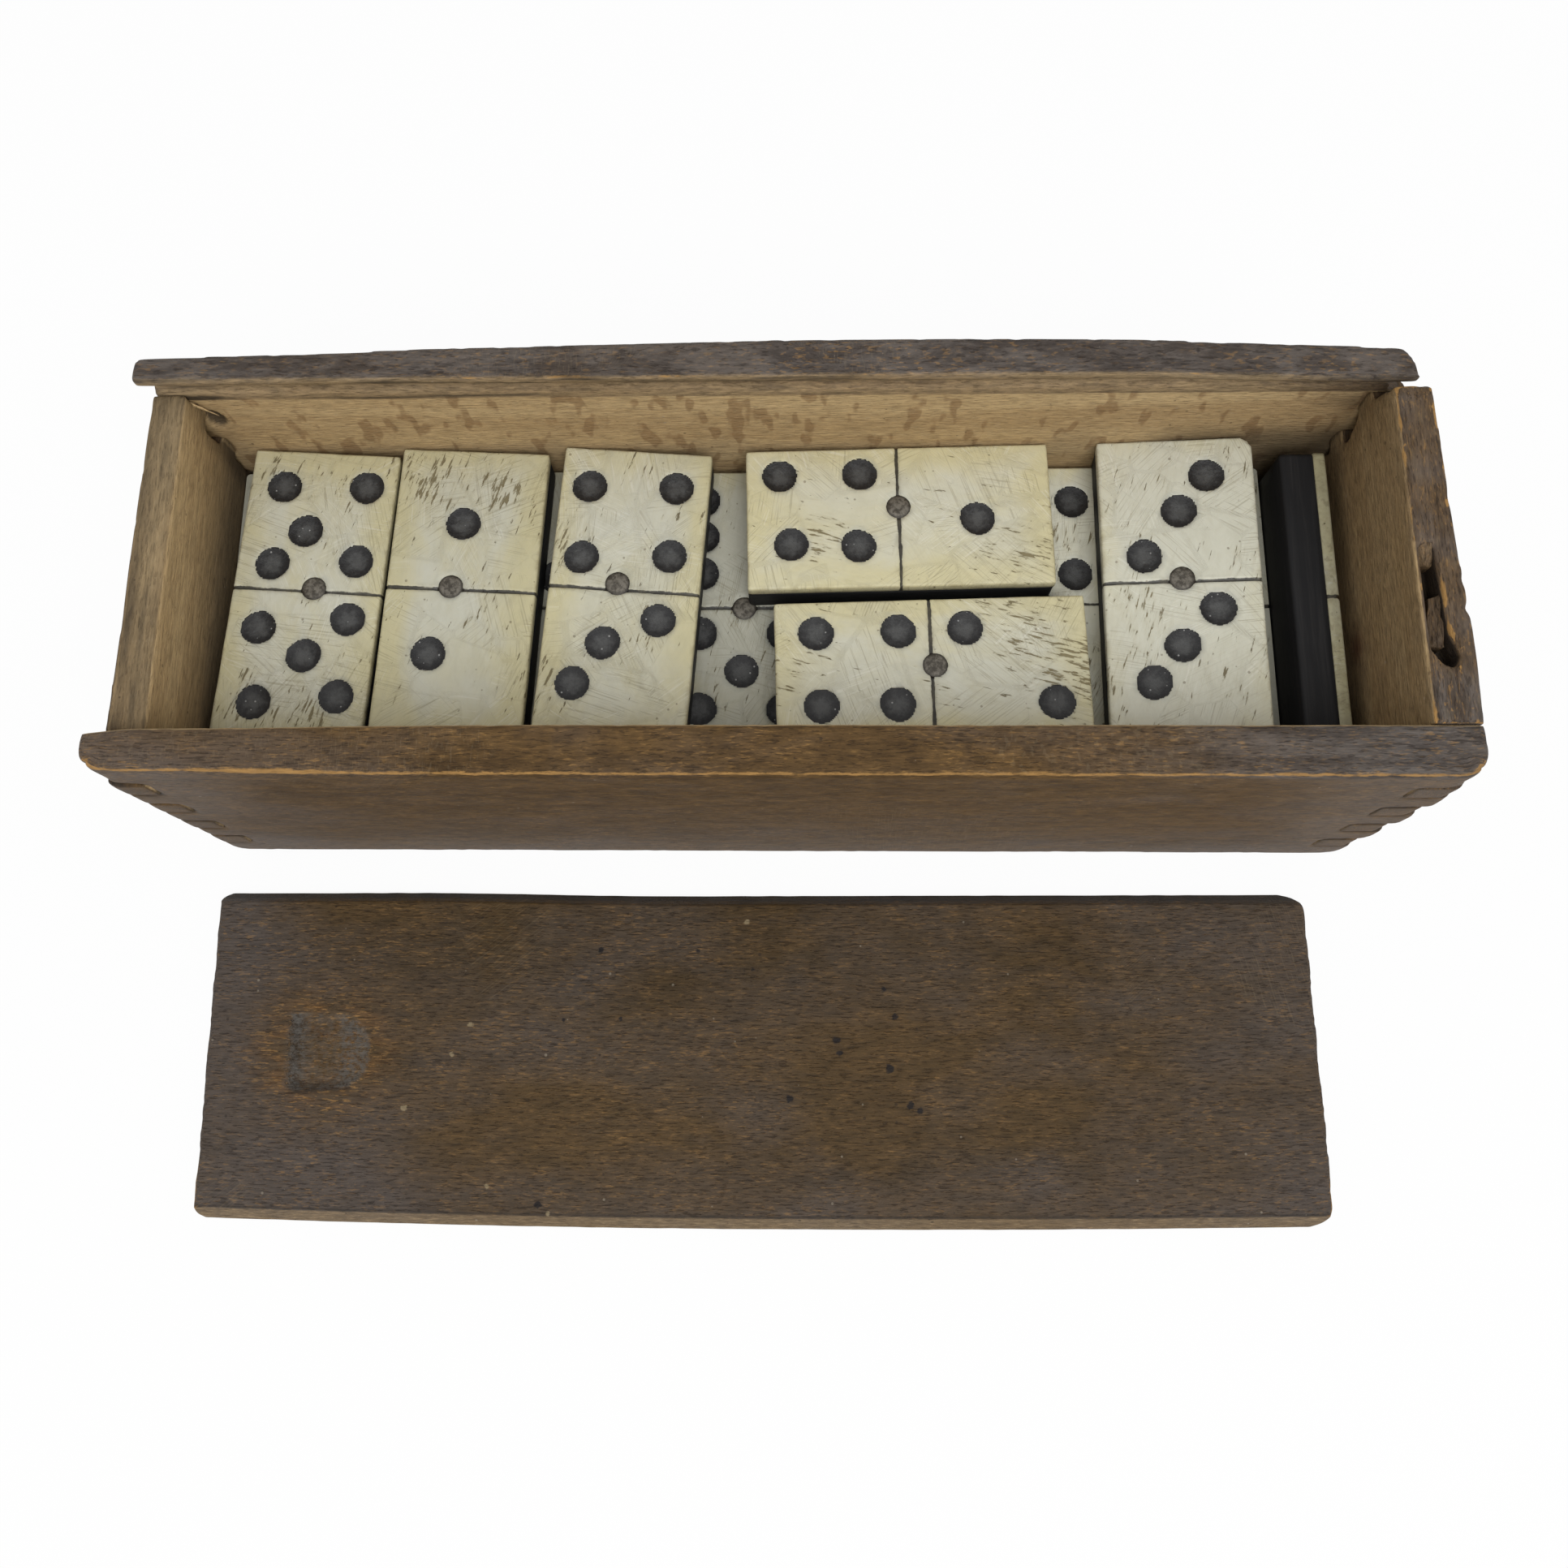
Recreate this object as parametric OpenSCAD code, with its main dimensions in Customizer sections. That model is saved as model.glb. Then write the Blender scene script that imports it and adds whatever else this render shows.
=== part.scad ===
// Sliding-lid box of dominoes: comb-jointed wooden case, loose lid, and twenty-eight bone and ebony tiles.
// Millimetres. X runs along the box, Y from front to back, Z up; the origin is under the middle of the case.

/* [Case] */
// length of the case over its ends
case_l = 176; // [176:0.5:178]
// width of the case over the middle of its long walls
case_w = 60.5; // [60.3:0.1:61.3]
// height of the long walls
case_h = 50.3; // [49.6:0.1:54]
// thickness of the front long wall
front_t = 6.85; // [6.65:0.05:6.95]
// thickness of the back long wall at its middle, where it is least worn
back_t = 4.45; // [4.25:0.05:4.55]
// how much thinner the back long wall is at its ends
back_worn = 1.15; // [0.6:0.05:1.2]
// thickness of the low left end at the front, where the lid slides in
left_t = 5.5; // [5.3:0.1:5.6]
// how much thinner the left end is at the back
left_worn = 0.7; // [0.3:0.1:0.8]
// thickness of the high right end at the front, where the lid stops
right_t = 6.1; // [5.9:0.1:6.1]
// how much thinner the right end is at the back
right_worn = 1.1; // [0.6:0.1:1.1]
// thickness of the bottom panel
panel_t = 3.6; // [3:0.1:3.6]
// how far the bottom panel is let into each wall
panel_lap = 2.4; // [1.6:0.1:2.4]

/* [Comb joints] */
// height of one finger of an end wall
finger_h = 5; // [4:0.1:6]
// distance from one finger to the next
finger_pitch = 10.65; // [10:0.05:10.8]
// height of the lowest finger above the table
finger_low = 6.65; // [6:0.05:6.8]
// fingers on each corner
finger_n = 4; // [3:1:4]

/* [Lid] */
// length of the lid
lid_l = 169.6; // [168:0.1:169.6]
// width of the lid
lid_w = 50.6; // [50.2:0.1:50.8]
// thickness of the lid
lid_t = 3.4; // [3.2:0.1:3.6]
// thickness left at the lid's long edges, which run in the grooves
lid_edge_t = 1.2; // [1:0.1:1.3]
// width of the bevel along each long edge
lid_bevel = 1.8; // [1.6:0.1:2]
// distance from the case's middle to the lid's middle on the table, towards the front
lid_out = 62.1; // [61:0.1:66]
// distance the lid lies left of the case's middle
lid_left = 3; // [0:0.1:6]
// angle at which the lid lies beside the case, in degrees
lid_yaw = 0.4; // [0:0.1:1]
// width of the thumb nick across the lid
nick_w = 13.4; // [12:0.1:14]
// length of the thumb nick along the lid
nick_l = 13.5; // [12.5:0.1:14]
// depth of the nick at its straight stop
nick_d = 1.4; // [1:0.1:1.6]
// distance from the lid's left end to the nick's stop
nick_in = 13.8; // [12:0.1:15]

/* [Lid groove] */
// height of the groove's floor, level with the top of the left end
groove_z = 46; // [45.6:0.1:46]
// depth of each groove into its wall
groove_d = 1.2; // [1:0.1:1.3]
// opening of the groove at the wall's face
groove_mouth = 2.5; // [2.4:0.1:2.6]
// height of the groove at its bottom
groove_root = 1.5; // [1.4:0.1:1.6]

/* [Tiles] */
// width of a tile
tile_w = 22.1; // [21.9:0.05:22.1]
// length of a tile
tile_l = 44.6; // [44:0.1:44.6]
// thickness of the ebony back
ebony_t = 4.8; // [4.6:0.1:4.8]
// thickness of the bone face
bone_t = 1.9; // [1.7:0.1:1.9]
// diameter of a pip
pip_d = 5.3; // [4.8:0.1:5.4]
// depth of a pip's drilling
pip_deep = 0.9; // [0.7:0.1:1]
// diameter of the domed pin head
pin_d = 4; // [3.6:0.1:4.2]
// rise of the pin's dome
pin_dome = 0.42; // [0.35:0.01:0.45]
// diameter of the pin's shank
shank_d = 1.8; // [1.6:0.1:2]
// width of the engraved dividing line
line_w = 0.5; // [0.4:0.1:0.7]

/* [Hidden] */
$fn = 64;

past = 1;                                   // how far a cutter runs past the face that it cuts
case_end = case_l / 2;
front_y = -case_w / 2;
back_y = case_w / 2;
inner_front = front_y + front_t;
inner_back = back_y - back_t;
inner_left = -case_end + left_t;
inner_right = case_end - right_t;
panel_l = inner_right - inner_left + 2 * panel_lap;
panel_w = inner_back - inner_front + 2 * panel_lap;
corner_r = 1.3;                             // worn upright corners of the case
handled_r = 3.2;                            // the most worn one, at the back of the right end
back_bend_x = 0.55 * case_end;              // where the back wall starts to thin towards each end
back_bend_y = 0.3 * back_worn;
foot_end_r = 4.2;                           // worn lower corners, seen from the front
foot_side_r = 0.9;                          // worn lower edges, seen from the end
rim_end_r = 1.2;                            // worn upper corners, seen from the front
rim_r = 0.7;                                // worn upper edges
lid_left_r = 1.5;
lid_right_r = 3;

tile_t = ebony_t + bone_t;
tile_corner_r = 0.6;
half_off = 0.245 * tile_l;                  // middle of a half tile from the dividing line
pip_col = 6.2;
pip_row = 5.9;
pip_gap = 0.1;                              // the black filling stops this far below the bone
dish_r = 9;                                 // radius of the hollow in each pip
dish_deep = 0.36;
line_deep = 0.35;
seat_deep = pin_dome + 0.03;                // the dome stays just under the face
dome_r = (pin_d * pin_d / 4 + pin_dome * pin_dome) / (2 * pin_dome);
shank_l = 4.2;
rest_gap = 0.03;                            // air under each loose tile

// heights of the four layers of tiles
function row_z(row) = panel_t + (row - 1) * tile_t;

// columns: the third row is packed from the left, the first is spread over the whole floor
packed_pitch = tile_w + 0.07;
packed_x = inner_left + 0.1 + tile_w / 2;
spread_x = inner_left + 0.2 + tile_w / 2;
spread_pitch = (inner_right - 0.9 - tile_w / 2 - spread_x) / 6;
row_y = 2.4;
columns = 7;

// Every tile: [x, y, z], [tilt, turn], pips in the upper half, in the lower half,
// and how far each set is off centre
T55 = [[-68.8, 2.6, row_z(4) + rest_gap], [0, -3.4], 5, 5, [0, 0], [0, 0]];
T11 = [[-46.1, 2.7, row_z(4) + rest_gap], [0, -2.8], 1, 1, [-0.2, -0.5], [-3.1, 0.9]];
T43 = [[-22.2, 2.6, row_z(4) + rest_gap], [0, -4.2], 4, 3, [0, -0.3], [0.3, 1.7]];
T41 = [[17.9, 14.1, row_z(4) + rest_gap], [0, 91.3], 4, 1, [0.6, 0.5], [-1.2, 0]];
T42 = [[22.2, -9.9, row_z(4) + rest_gap], [0, 91.6], 4, 2, [0.5, 0], [0.7, 0.5]];
// this one leans: its left edge is on the row below and the rest on a loose pin
lean = 5;
lean_gap = 0.06;
T33 = [[58.6, 3.3, row_z(4) + lean_gap + tile_w / 2 * sin(lean)], [-lean, -0.4], 3, 3, [-0.4, 0], [0, 1.8]];
// this one stands on its long edge, on the bottom row, with its back to the left
T66 = [[72.9, 0.5, row_z(2) + rest_gap + tile_w / 2], [90, 0], 6, 6, [0, 0], [0, 0]];
// two tiles of the third row show between the loose ones
T65 = [[packed_x + 3 * packed_pitch, row_y, row_z(3)], [0, 0], 6, 5, [-0.2, 0.5], [-0.3, 1]];
T40 = [[packed_x + 5 * packed_pitch, row_y + 0.5, row_z(3)], [0, 0], 4, 0, [-1.1, -0.3], [0, 0]];

// the rest of the set, in counting order, fills the hidden places
shown = [[5, 5], [1, 1], [4, 3], [4, 1], [4, 2], [3, 3], [6, 6], [6, 5], [4, 0]];
function is_shown(a, b) = len([for (s = shown) if (s[0] == a && s[1] == b) 1]) > 0;
unseen = [for (a = [0 : 6]) for (b = [0 : a]) if (!is_shown(a, b)) [a, b]];
row3_columns = [0, 1, 2, 4, 6];
loose_pin_rise = 1.25;                      // the last pin of the third row stands proud

function row3_tile(i) = [[packed_x + row3_columns[i] * packed_pitch, row_y, row_z(3)], [0, 0],
    unseen[i][0], unseen[i][1], [0, 0], [0, 0]];
function row2_tile(i) = [[packed_x + i * packed_pitch, row_y, row_z(2)], [0, 0],
    unseen[5 + i][0], unseen[5 + i][1], [0, 0], [0, 0]];
function row1_tile(i) = [[spread_x + i * spread_pitch, row_y, row_z(1)], [0, 0],
    unseen[12 + i][0], unseen[12 + i][1], [0, 0], [0, 0]];

wood = [0.35, 0.27, 0.2];
bone = [0.85, 0.82, 0.7];
ebony = [0.08, 0.08, 0.08];
pip_black = [0.05, 0.05, 0.05];
brass = [0.4, 0.36, 0.3];

// ---- flat shapes ----

// what a rounding of radius r takes off the corner at the origin
module corner_waste(r) {
    difference() {
        translate([-past, -past])
            square(r + past);
        translate([r, r])
            circle(r);
    }
}

// a rectangle on the X axis with rounded lower and upper corners
module soft_rect(w, h, low_r, high_r) {
    difference() {
        translate([-w / 2, 0])
            square([w, h]);
        for (side = [0, 1]) {
            mirror([side, 0])
                translate([-w / 2, 0])
                    corner_waste(low_r);
            mirror([side, 0])
                translate([-w / 2, h])
                    mirror([0, 1])
                        corner_waste(high_r);
        }
    }
}

// ---- case ----

// the case seen from above: both ends are worn thinner at the back, and the back wall at its ends
module case_plan() {
    difference() {
        polygon([[-case_end, front_y], [case_end, front_y],
            [case_end - right_worn, back_y - back_worn], [back_bend_x, back_y - back_bend_y],
            [0, back_y], [-back_bend_x, back_y - back_bend_y], [-case_end + left_worn, back_y - back_worn]]);
        translate([-case_end, front_y])
            corner_waste(corner_r);
        translate([case_end, front_y])
            mirror([1, 0])
                corner_waste(corner_r);
        translate([-case_end + left_worn, back_y - back_worn])
            mirror([0, 1])
                corner_waste(corner_r);
        translate([case_end - right_worn, back_y - back_worn])
            rotate(180)
                corner_waste(handled_r);
    }
}

// the whole case as one worn block, which every wall is cut from
module case_block() {
    intersection() {
        linear_extrude(case_h)
            case_plan();
        translate([0, back_y + past, 0])
            rotate([90, 0, 0])
                linear_extrude(case_w + 2 * past)
                    soft_rect(case_l, case_h, foot_end_r, rim_end_r);
        translate([-case_end - past, 0, 0])
            rotate([90, 0, 90])
                linear_extrude(case_l + 2 * past)
                    soft_rect(case_w, case_h, foot_side_r, rim_r);
    }
}

// the fingers of one end wall, full width of the case; side is -1 left, 1 right
module fingers(side, t) {
    x0 = side < 0 ? -case_end - past : case_end - t;
    for (k = [0 : finger_n - 1])
        translate([x0, front_y - past, finger_low + k * finger_pitch])
            cube([t + past, case_w + 2 * past, finger_h]);
}

// section of a groove that opens towards +X, drawn from the wall's face inwards
module groove_section() {
    polygon([[past, 0], [-groove_d, 0], [-groove_d, groove_root], [0, groove_mouth], [past, groove_mouth]]);
}

// a groove along the whole length of the case; side is -1 in the front wall, 1 in the back wall
module lid_groove(side) {
    face_y = side < 0 ? inner_front : inner_back;
    translate([-case_end - past, face_y, groove_z])
        mirror([0, side > 0 ? 1 : 0, 0])
            rotate([90, 0, 90])
                linear_extrude(case_l + 2 * past)
                    groove_section();
}

// rebate for the bottom panel
module panel_space() {
    translate([inner_left - panel_lap, inner_front - panel_lap, -past])
        cube([panel_l, panel_w, panel_t + past]);
}

module long_wall(y0, t, side) {
    difference() {
        intersection() {
            case_block();
            translate([-case_end, y0, 0])
                cube([case_l, t, case_h]);
        }
        fingers(-1, left_t);
        fingers(1, right_t);
        lid_groove(side);
        panel_space();
    }
}

module front_wall() {
    color(wood)
        long_wall(front_y, front_t, -1);
}

module back_wall() {
    color(wood)
        long_wall(inner_back, back_t, 1);
}

// an end wall between the long walls, up to top_z, with its fingers
module end_wall(side, t, top_z) {
    x0 = side < 0 ? -case_end : inner_right;
    difference() {
        intersection() {
            case_block();
            union() {
                translate([x0, inner_front, 0])
                    cube([t, inner_back - inner_front, top_z]);
                fingers(side, t);
            }
        }
        panel_space();
    }
}

module left_end() {
    color(wood)
        end_wall(-1, left_t, groove_z);
}

// outline of the hole worn into the top of the right end, from its inner face outwards
pocket_wall = 0.7;
pocket_deep = 4.5;
pocket_points = [[0, 0.6], [1.8, 0.9], [2.1, -6], [2.4, -11.5],
    [3.5, -14.5], [2.9, -16], [1.4, -15.6], [0.1, -13.6]];

module right_end() {
    color(wood)
        difference() {
            end_wall(1, right_t, case_h);
            translate([inner_right + pocket_wall, 0, case_h - pocket_deep])
                linear_extrude(pocket_deep + past)
                    polygon(pocket_points);
        }
}

module bottom_panel() {
    color(wood)
        intersection() {
            case_block();
            translate([inner_left - panel_lap, inner_front - panel_lap, 0])
                cube([panel_l, panel_w, panel_t]);
        }
}

// ---- lid ----

module lid_section() {
    polygon([[-lid_w / 2, 0], [lid_w / 2, 0], [lid_w / 2, lid_edge_t], [lid_w / 2 - lid_bevel, lid_t],
        [-lid_w / 2 + lid_bevel, lid_t], [-lid_w / 2, lid_edge_t]]);
}

// straight at the stop, round towards the middle, with a floor that rises to the face
module thumb_nick() {
    translate([-lid_l / 2 + nick_in, 0, lid_t - nick_d])
        rotate([0, -atan(nick_d / nick_l), 0])
            linear_extrude(2 * nick_d) {
                translate([nick_l - nick_w / 2, 0])
                    circle(nick_w / 2);
                translate([0, -nick_w / 2])
                    square([nick_l - nick_w / 2, nick_w]);
            }
}

module lid() {
    color(wood)
        translate([-lid_left, -lid_out, 0])
            rotate([0, 0, lid_yaw])
                difference() {
                    intersection() {
                        translate([-lid_l / 2, 0, 0])
                            rotate([90, 0, 90])
                                linear_extrude(lid_l)
                                    lid_section();
                        translate([-lid_l / 2, 0, 0])
                            rotate([0, 0, -90])
                                linear_extrude(lid_t)
                                    soft_rect(lid_w, lid_l, lid_left_r, lid_right_r);
                    }
                    thumb_nick();
                }
}

// ---- one tile, lying face up with its underside at z = 0 ----

// where the pips of one half sit, from the middle of that half
function pip_spots(n) = concat(
    n % 2 == 1 ? [[0, 0]] : [],
    n >= 2 ? [[pip_col, pip_row], [-pip_col, -pip_row]] : [],
    n >= 4 ? [[-pip_col, pip_row], [pip_col, -pip_row]] : [],
    n == 6 ? [[pip_col, 0], [-pip_col, 0]] : []);

function all_spots(t) = concat(
    [for (s = pip_spots(t[2])) s + t[4] + [0, half_off]],
    [for (s = pip_spots(t[3])) s + t[5] - [0, half_off]]);

// moves a tile to its place and angle
module put(t) {
    translate(t[0])
        rotate([0, t[1][0], t[1][1]])
            children();
}

module slab(h) {
    translate([0, -tile_l / 2, 0])
        linear_extrude(h)
            soft_rect(tile_w, tile_l, tile_corner_r, tile_corner_r);
}

module shank_bore() {
    translate([0, 0, tile_t - seat_deep - shank_l])
        cylinder(h = shank_l + past, d = shank_d);
}

module one_back(t) {
    put(t)
        difference() {
            slab(ebony_t);
            shank_bore();
        }
}

module one_face(t) {
    put(t)
        difference() {
            translate([0, 0, ebony_t])
                slab(bone_t);
            shank_bore();
            translate([0, 0, tile_t - seat_deep])
                cylinder(h = seat_deep + past, d = pin_d);
            translate([-tile_w, -line_w / 2, tile_t - line_deep])
                cube([2 * tile_w, line_w, line_deep + past]);
            for (s = all_spots(t))
                translate([s[0], s[1], tile_t - pip_deep])
                    cylinder(h = pip_deep + past, d = pip_d);
        }
}

module one_pin(t, rise = 0) {
    put(t)
        translate([0, 0, tile_t - seat_deep + rise]) {
            intersection() {
                cylinder(h = pin_dome, d = pin_d);
                translate([0, 0, pin_dome - dome_r])
                    sphere(dome_r);
            }
            translate([0, 0, -shank_l])
                cylinder(h = shank_l, d = shank_d);
        }
}

module pips_of(t) {
    put(t)
        for (s = all_spots(t))
            translate([s[0], s[1], tile_t - pip_deep])
                difference() {
                    cylinder(h = pip_deep - pip_gap, d = pip_d);
                    translate([0, 0, pip_deep - pip_gap - dish_deep + dish_r])
                        sphere(dish_r);
                }
}

// ---- loose tiles ----

module t55_face() { color(bone) one_face(T55); }
module t55_back() { color(ebony) one_back(T55); }
module t55_pin() { color(brass) one_pin(T55); }
module t55_pips() { color(pip_black) pips_of(T55); }

module t11_face() { color(bone) one_face(T11); }
module t11_back() { color(ebony) one_back(T11); }
module t11_pin() { color(brass) one_pin(T11); }
module t11_pips() { color(pip_black) pips_of(T11); }

module t43_face() { color(bone) one_face(T43); }
module t43_back() { color(ebony) one_back(T43); }
module t43_pin() { color(brass) one_pin(T43); }
module t43_pips() { color(pip_black) pips_of(T43); }

module t41_face() { color(bone) one_face(T41); }
module t41_back() { color(ebony) one_back(T41); }
module t41_pin() { color(brass) one_pin(T41); }
module t41_pips() { color(pip_black) pips_of(T41); }

module t42_face() { color(bone) one_face(T42); }
module t42_back() { color(ebony) one_back(T42); }
module t42_pin() { color(brass) one_pin(T42); }
module t42_pips() { color(pip_black) pips_of(T42); }

module t33_face() { color(bone) one_face(T33); }
module t33_back() { color(ebony) one_back(T33); }
module t33_pin() { color(brass) one_pin(T33); }
module t33_pips() { color(pip_black) pips_of(T33); }

module t66_face() { color(bone) one_face(T66); }
module t66_back() { color(ebony) one_back(T66); }
module t66_pin() { color(brass) one_pin(T66); }
module t66_pips() { color(pip_black) pips_of(T66); }

// ---- tiles that stay in the case ----

module t65_face() { color(bone) one_face(T65); }
module t65_back() { color(ebony) one_back(T65); }
module t65_pin() { color(brass) one_pin(T65); }
module t65_pips() { color(pip_black) pips_of(T65); }

module t40_face() { color(bone) one_face(T40); }
module t40_back() { color(ebony) one_back(T40); }
module t40_pin() { color(brass) one_pin(T40); }
module t40_pips() { color(pip_black) pips_of(T40); }

module row3_faces() { color(bone) for (i = [0 : 4]) one_face(row3_tile(i)); }
module row3_backs() { color(ebony) for (i = [0 : 4]) one_back(row3_tile(i)); }
module row3_pins() { color(brass) for (i = [0 : 4]) one_pin(row3_tile(i), i == 4 ? loose_pin_rise : 0); }
module row3_pips() { color(pip_black) for (i = [0 : 4]) pips_of(row3_tile(i)); }

module row2_faces() { color(bone) for (i = [0 : columns - 1]) one_face(row2_tile(i)); }
module row2_backs() { color(ebony) for (i = [0 : columns - 1]) one_back(row2_tile(i)); }
module row2_pins() { color(brass) for (i = [0 : columns - 1]) one_pin(row2_tile(i)); }
module row2_pips() { color(pip_black) for (i = [0 : columns - 1]) pips_of(row2_tile(i)); }

module row1_faces() { color(bone) for (i = [0 : columns - 1]) one_face(row1_tile(i)); }
module row1_backs() { color(ebony) for (i = [0 : columns - 1]) one_back(row1_tile(i)); }
module row1_pins() { color(brass) for (i = [0 : columns - 1]) one_pin(row1_tile(i)); }
module row1_pips() { color(pip_black) for (i = [0 : columns - 1]) pips_of(row1_tile(i)); }

front_wall();
back_wall();
left_end();
right_end();
bottom_panel();
lid();
t55_face();
t55_back();
t55_pin();
t55_pips();
t11_face();
t11_back();
t11_pin();
t11_pips();
t43_face();
t43_back();
t43_pin();
t43_pips();
t41_face();
t41_back();
t41_pin();
t41_pips();
t42_face();
t42_back();
t42_pin();
t42_pips();
t33_face();
t33_back();
t33_pin();
t33_pips();
t66_face();
t66_back();
t66_pin();
t66_pips();
t65_face();
t65_back();
t65_pin();
t65_pips();
t40_face();
t40_back();
t40_pin();
t40_pips();
row3_faces();
row3_backs();
row3_pins();
row3_pips();
row2_faces();
row2_backs();
row2_pins();
row2_pips();
row1_faces();
row1_backs();
row1_pins();
row1_pips();
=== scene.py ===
"""Looks for a worn box of dominoes: timber case and lid, bone faces, ebony backs, black pips and brass pins.

Lengths in this file are millimetres until a mesh is made; Blender gets metres. X runs along the case, Y to its back.
"""

import bmesh
import bpy
import numpy as np
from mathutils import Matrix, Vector


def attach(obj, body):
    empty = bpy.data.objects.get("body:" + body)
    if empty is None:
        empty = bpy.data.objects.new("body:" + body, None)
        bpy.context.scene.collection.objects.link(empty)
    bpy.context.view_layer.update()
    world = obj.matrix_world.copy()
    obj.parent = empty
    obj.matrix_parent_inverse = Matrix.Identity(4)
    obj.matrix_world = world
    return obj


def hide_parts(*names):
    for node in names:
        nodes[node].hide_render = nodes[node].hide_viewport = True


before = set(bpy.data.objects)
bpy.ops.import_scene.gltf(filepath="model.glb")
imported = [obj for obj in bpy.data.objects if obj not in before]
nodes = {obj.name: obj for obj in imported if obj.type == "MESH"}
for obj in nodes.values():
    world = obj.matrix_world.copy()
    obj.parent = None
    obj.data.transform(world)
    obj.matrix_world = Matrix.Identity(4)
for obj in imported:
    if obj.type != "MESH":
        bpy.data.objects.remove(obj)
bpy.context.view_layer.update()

MM = 0.001

# case, lid and tiles, as in the part's source
CASE_H = 50.3
INNER_FRONT, INNER_BACK, INNER_LEFT, INNER_RIGHT = -23.4, 25.8, -82.5, 81.9
GROOVE_Z = 46.0
FINGER_LOW, FINGER_PITCH, FINGER_H = 6.65, 10.65, 5.0
LID_L, LID_W, LID_T, LID_EDGE, LID_BEVEL = 169.6, 50.6, 3.4, 1.2, 1.8
LID_AT, LID_YAW = (-3.0, -62.1), 0.4
TILE_W, TILE_L, TILE_T, EBONY_T = 22.1, 44.6, 6.7, 4.8
HALF_OFF, PIP_COL, PIP_ROW, PIP_R, PIN_R = 0.245 * TILE_L, 6.2, 5.9, 2.65, 2.0
LINE_DEPTH, PIP_DEPTH, PIN_DEPTH = 0.34, 0.75, 0.5    # of the dividing groove and the hollows in the bone
TOP_Z, ROW3_Z = 23.73, 17.0

# name: (body, place of the underside, (tilt, turn), upper pips, lower pips, shift of each set, whiteness, lightness)
# lightness is painted light and shade: each tile's bone made brighter or darker as it is lit or shaded in the case
TILES = {
    "t55": ("tile_t55", (-68.8, 2.6, TOP_Z), (0, -3.4), 5, 5, (0, 0), (0, 0), 0.25, 0.98),
    "t11": ("tile_t11", (-46.1, 2.7, TOP_Z), (0, -2.8), 1, 1, (-0.2, -0.5), (-3.1, 0.9), 0.2, 0.96),
    "t43": ("tile_t43", (-22.2, 2.6, TOP_Z), (0, -4.2), 4, 3, (0, -0.3), (0.3, 1.7), 0.35, 1.02),
    "t41": ("tile_t41", (17.9, 14.1, TOP_Z), (0, 91.3), 4, 1, (0.6, 0.5), (-1.2, 0), 0.15, 1.12),
    "t42": ("tile_t42", (22.2, -9.9, TOP_Z), (0, 91.6), 4, 2, (0.5, 0), (0.7, 0.5), 0.3, 1.09),
    "t33": ("tile_t33", (58.6, 3.3, 24.723), (-5, -0.4), 3, 3, (-0.4, 0), (0, 1.8), 1.0, 1.10),
    "t66": ("tile_t66", (72.9, 0.5, 21.38), (90, 0), 6, 6, (0, 0), (0, 0), 0.4, 0.65),
    "t65": ("case", (-4.84, 2.4, ROW3_Z), (0, 0), 6, 5, (-0.2, 0.5), (-0.3, 1), 0.6, 0.85),
    "t40": ("case", (39.5, 2.9, ROW3_Z), (0, 0), 4, 0, (-1.1, -0.3), (0, 0), 0.6, 1.24),
}

# how far single pips, in the order of all_spots, and pins sit from their even places: across and along the tile,
# read off the photograph to half a millimetre
STRAY = {
    "t55": {0: (-1.5, -1.5), 1: (0.5, 0), 2: (0.5, -1), 3: (0.5, -0.5), 4: (0.5, 0), 5: (1, 1), 6: (0.5, 1),
            7: (1, -0.5), 8: (0, -1), 9: (0.5, 1), "pin": (1, 0.5)},
    "t11": {0: (-0.5, 0), 1: (-0.5, 0), "pin": (-1.5, 0.5)},
    "t43": {1: (-0.5, 0), 2: (-0.5, -0.5), 3: (0, 1), 4: (-2.5, 1), 5: (-1, -1), 6: (0, 0.5), "pin": (-1, 1)},
    "t41": {1: (1, 0.5), 2: (1.5, -1.5), 4: (0.5, -0.5), "pin": (1.5, 0)},
    "t42": {0: (-0.5, -0.5), 1: (1, 0), 2: (1, -1), 3: (-0.5, -0.5), 4: (-0.5, -0.5), 5: (0.5, -1), "pin": (1, -0.5)},
    "t33": {0: (0.5, 0), 1: (-1.5, -0.5), 2: (1.5, -1), 3: (-0.5, -0.5), 4: (-1.5, -1), 5: (1.5, 0), "pin": (0, 0.5)},
}
CHIPPED = {"t33": 1.5}    # leg of the chip off a bone's corner at +X +Y


# ---------------------------------------------------------------- arrays

def ramp(x, low, high):
    """0 below low, 1 above high, and 3t^2 - 2t^3 between them."""
    t = np.clip((x - low) / (high - low), 0.0, 1.0)
    return t * t * (3 - 2 * t)


def grain_noise(points, size, seed):
    """Random values from -1 to 1 on a wrapped lattice of cells of the given size, blended smoothly between them."""
    n = 24
    lattice = np.random.default_rng(seed).uniform(-1, 1, (n, n, n))
    p = np.asarray(points, float) / np.asarray(size, float)
    cell = np.floor(p).astype(int)
    f = p - cell
    f = f * f * (3 - 2 * f)
    total = 0.0
    for dx in (0, 1):
        for dy in (0, 1):
            for dz in (0, 1):
                weight = np.prod(np.abs(1 - np.array([dx, dy, dz]) - f), axis=-1)
                total = total + weight * lattice[
                    (cell[..., 0] + dx) % n, (cell[..., 1] + dy) % n, (cell[..., 2] + dz) % n]
    return total


def flat_noise(x, y, size, seed):
    """grain_noise over a plane."""
    return grain_noise(np.stack([x, y, np.zeros_like(x)], -1), size, seed)


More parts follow.
